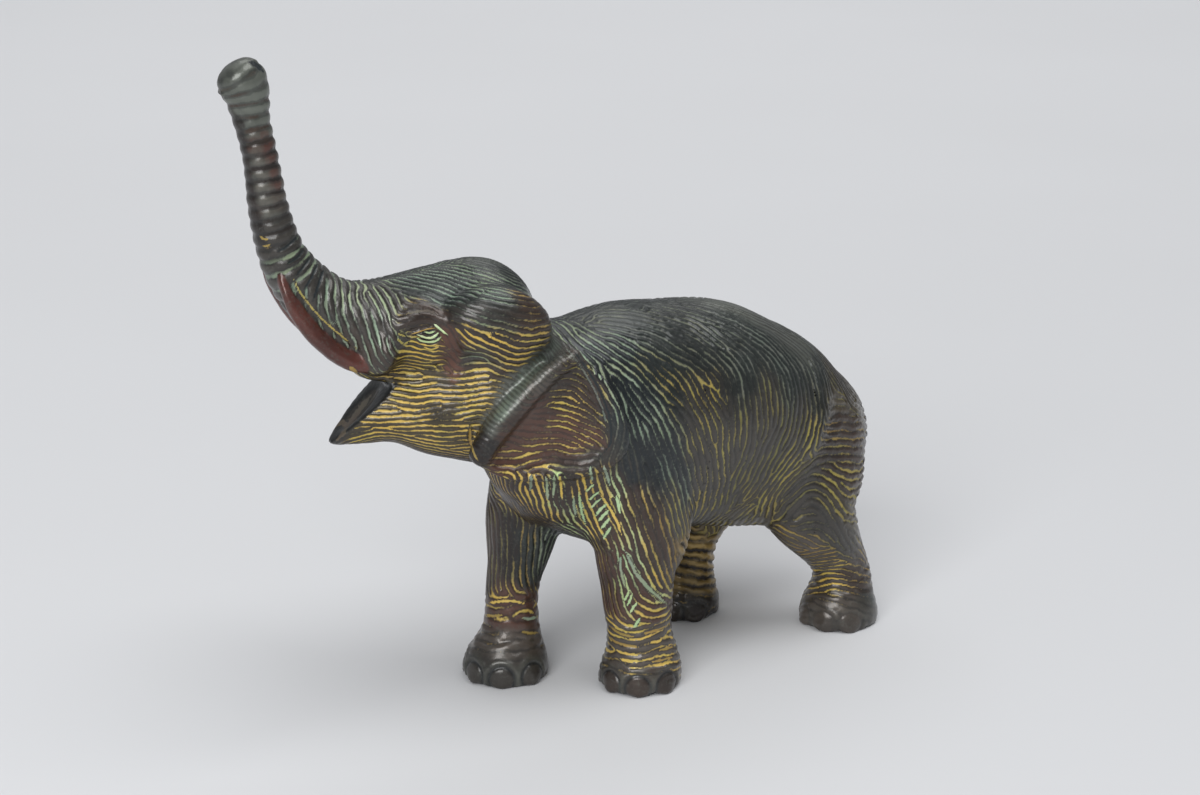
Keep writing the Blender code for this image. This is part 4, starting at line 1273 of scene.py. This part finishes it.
# Dark clouds and dust on the ground, a dark edge round each stroke, and the fill in its line
# colour, broken up by fine noise.
def bronzeMaterial():
    material, kit = newMaterial("patinatedBronze")
    place = kit.node("ShaderNodeTexCoord", output="Object")
    fill = kit.node("ShaderNodeAttribute", {"attribute_name": "fill"}, output="Fac")
    ground = kit.node("ShaderNodeAttribute", {"attribute_name": "ground"})
    line = kit.node("ShaderNodeAttribute", {"attribute_name": "line"})
    fine = place.noise(bronze["grain"], 3.0)
    coarse = place.noise(bronze["speckle"], 2.0)
    cloud = place.noise(bronze["cloud"], 3.0)
    green = place.noise(bronze["greenPatches"], 2.0)
    broken = (fine - 0.5) * 0.55 + (coarse - 0.5) * 0.30
    filled = (fill + broken).between(0.18, 0.74)
    dark = cloud.between(0.38, 0.68) * bronze["cloudShare"]
    dimmed = kit.mix(dark, ground, bronze["cloudColour"])
    dust = (fine * 0.6 + coarse * 0.4).between(0.50, 0.68) * bronze["dustShare"]
    dusted = kit.mix(dust, dimmed, colour(patina["stone"]))
    edge = (fill + broken * 0.25).between(0.0, 0.16) * bronze["edgeShare"]
    edged = kit.mix(edge, dusted, colour(patina["throat"]))
    golden = cloud.between(0.45, 0.65) * bronze["goldShare"]
    varied = kit.mix(golden, line, bronze["goldTint"], "MULTIPLY")
    greenish = green.between(0.45, 0.60) * bronze["greenShare"]
    greened = kit.mix(greenish, varied, bronze["greenTint"], "MULTIPLY")
    surface = kit.mix(filled, edged, greened)
    relief = {"Strength": bronze["bump"], "Distance": bronze["bumpHeight"], "Height": fine + coarse}
    bump = kit.node("ShaderNodeBump", {}, relief)
    rough = filled * 0.25 + (coarse - 0.5) * 0.25 + bronze["roughness"]
    shader = kit.node("ShaderNodeBsdfPrincipled", {}, {
        "Base Color": surface,
        "Metallic": bronze["metallic"],
        "Roughness": rough,
        "Coat Weight": bronze["coat"],
        "Coat Roughness": bronze["coatRoughness"],
        "Normal": bump,
    })
    kit.node("ShaderNodeOutputMaterial", {}, {"Surface": shader})
    return material


# The pale floor runs on behind the elephant, so that no horizon shows.
studio = {
    "floorSize": 12.0,
    "floorColour": (207, 208, 210),
    "skyColour": (228, 230, 234),
    "skyStrength": 0.32,
    "paperMottle": 0.15,
    "paperRoughness": 0.9,
    "sunPower": 1.50,
    "sunSpread": math.radians(45.0),
    "sunFrom": (0.18, -0.32, 1.0),
    # Light boxes: place, aim, size and power.
    "boxes": {
        "keyBox": ((-1.25, -0.75, 0.95), photoCamera["aim"], (0.9, 0.9), 18.0),
        "backBox": ((1.0, 1.2, 1.9), (1.2, 1.5, 0.0), (2.2, 1.6), 14.0),
    },
}


def makeFloor():
    bm = bmesh.new()
    bmesh.ops.create_grid(bm, x_segments=8, y_segments=8, size=studio["floorSize"] / 2)
    mesh = bpy.data.meshes.new("studioFloor")
    bm.to_mesh(mesh)
    bm.free()
    material, kit = newMaterial("studioPaper")
    place = kit.node("ShaderNodeTexCoord", output="Object")
    mottle = place.noise(3.0, 2.0) * studio["paperMottle"]
    paper = kit.mix(mottle, colour(studio["floorColour"]), colour(studio["skyColour"]))
    inputs = {"Base Color": paper, "Roughness": studio["paperRoughness"]}
    shader = kit.node("ShaderNodeBsdfPrincipled", {}, inputs)
    kit.node("ShaderNodeOutputMaterial", {}, {"Surface": shader})
    mesh.materials.append(material)
    newObject("studioFloor", mesh)


def makeLight(name, place, aim, size, power):
    data = bpy.data.lights.new(name, "AREA")
    data.shape = "RECTANGLE"
    data.size, data.size_y = size
    data.energy = power
    light = newObject(name, data)
    light.location = place
    light.rotation_euler = (Vector(aim) - Vector(place)).to_track_quat("-Z", "Y").to_euler()


def makeStudio():
    world = bpy.data.worlds.new("studioSky")
    world.use_nodes = True
    sky = world.node_tree.nodes["Background"]
    sky.inputs["Color"].default_value = colour(studio["skyColour"])
    sky.inputs["Strength"].default_value = studio["skyStrength"]
    bpy.context.scene.world = world
    bpy.context.scene.view_settings.view_transform = "Standard"
    data = bpy.data.lights.new("softSky", "SUN")
    data.energy = studio["sunPower"]
    data.angle = studio["sunSpread"]
    overhead = newObject("softSky", data)
    overhead.rotation_euler = (-Vector(studio["sunFrom"])).to_track_quat("-Z", "Y").to_euler()
    for name, (place, aim, size, power) in studio["boxes"].items():
        makeLight(name, place, aim, size, power)


def makeCamera():
    place, _, _, back = cameraAxes()
    data = bpy.data.cameras.new("photoCamera")
    data.lens = photoCamera["lens"]
    data.sensor_width = photoCamera["sensor"]
    camera = newObject("photoCamera", data)
    camera.location = place
    camera.rotation_euler = Vector(-back).to_track_quat("-Z", "Y").to_euler()
    bpy.context.scene.camera = camera


makeCamera()
makeFloor()
makeStudio()
for piece in makeElephant():
    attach(piece, "root")
    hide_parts("bronze_elephant")

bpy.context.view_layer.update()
report("sizes written")
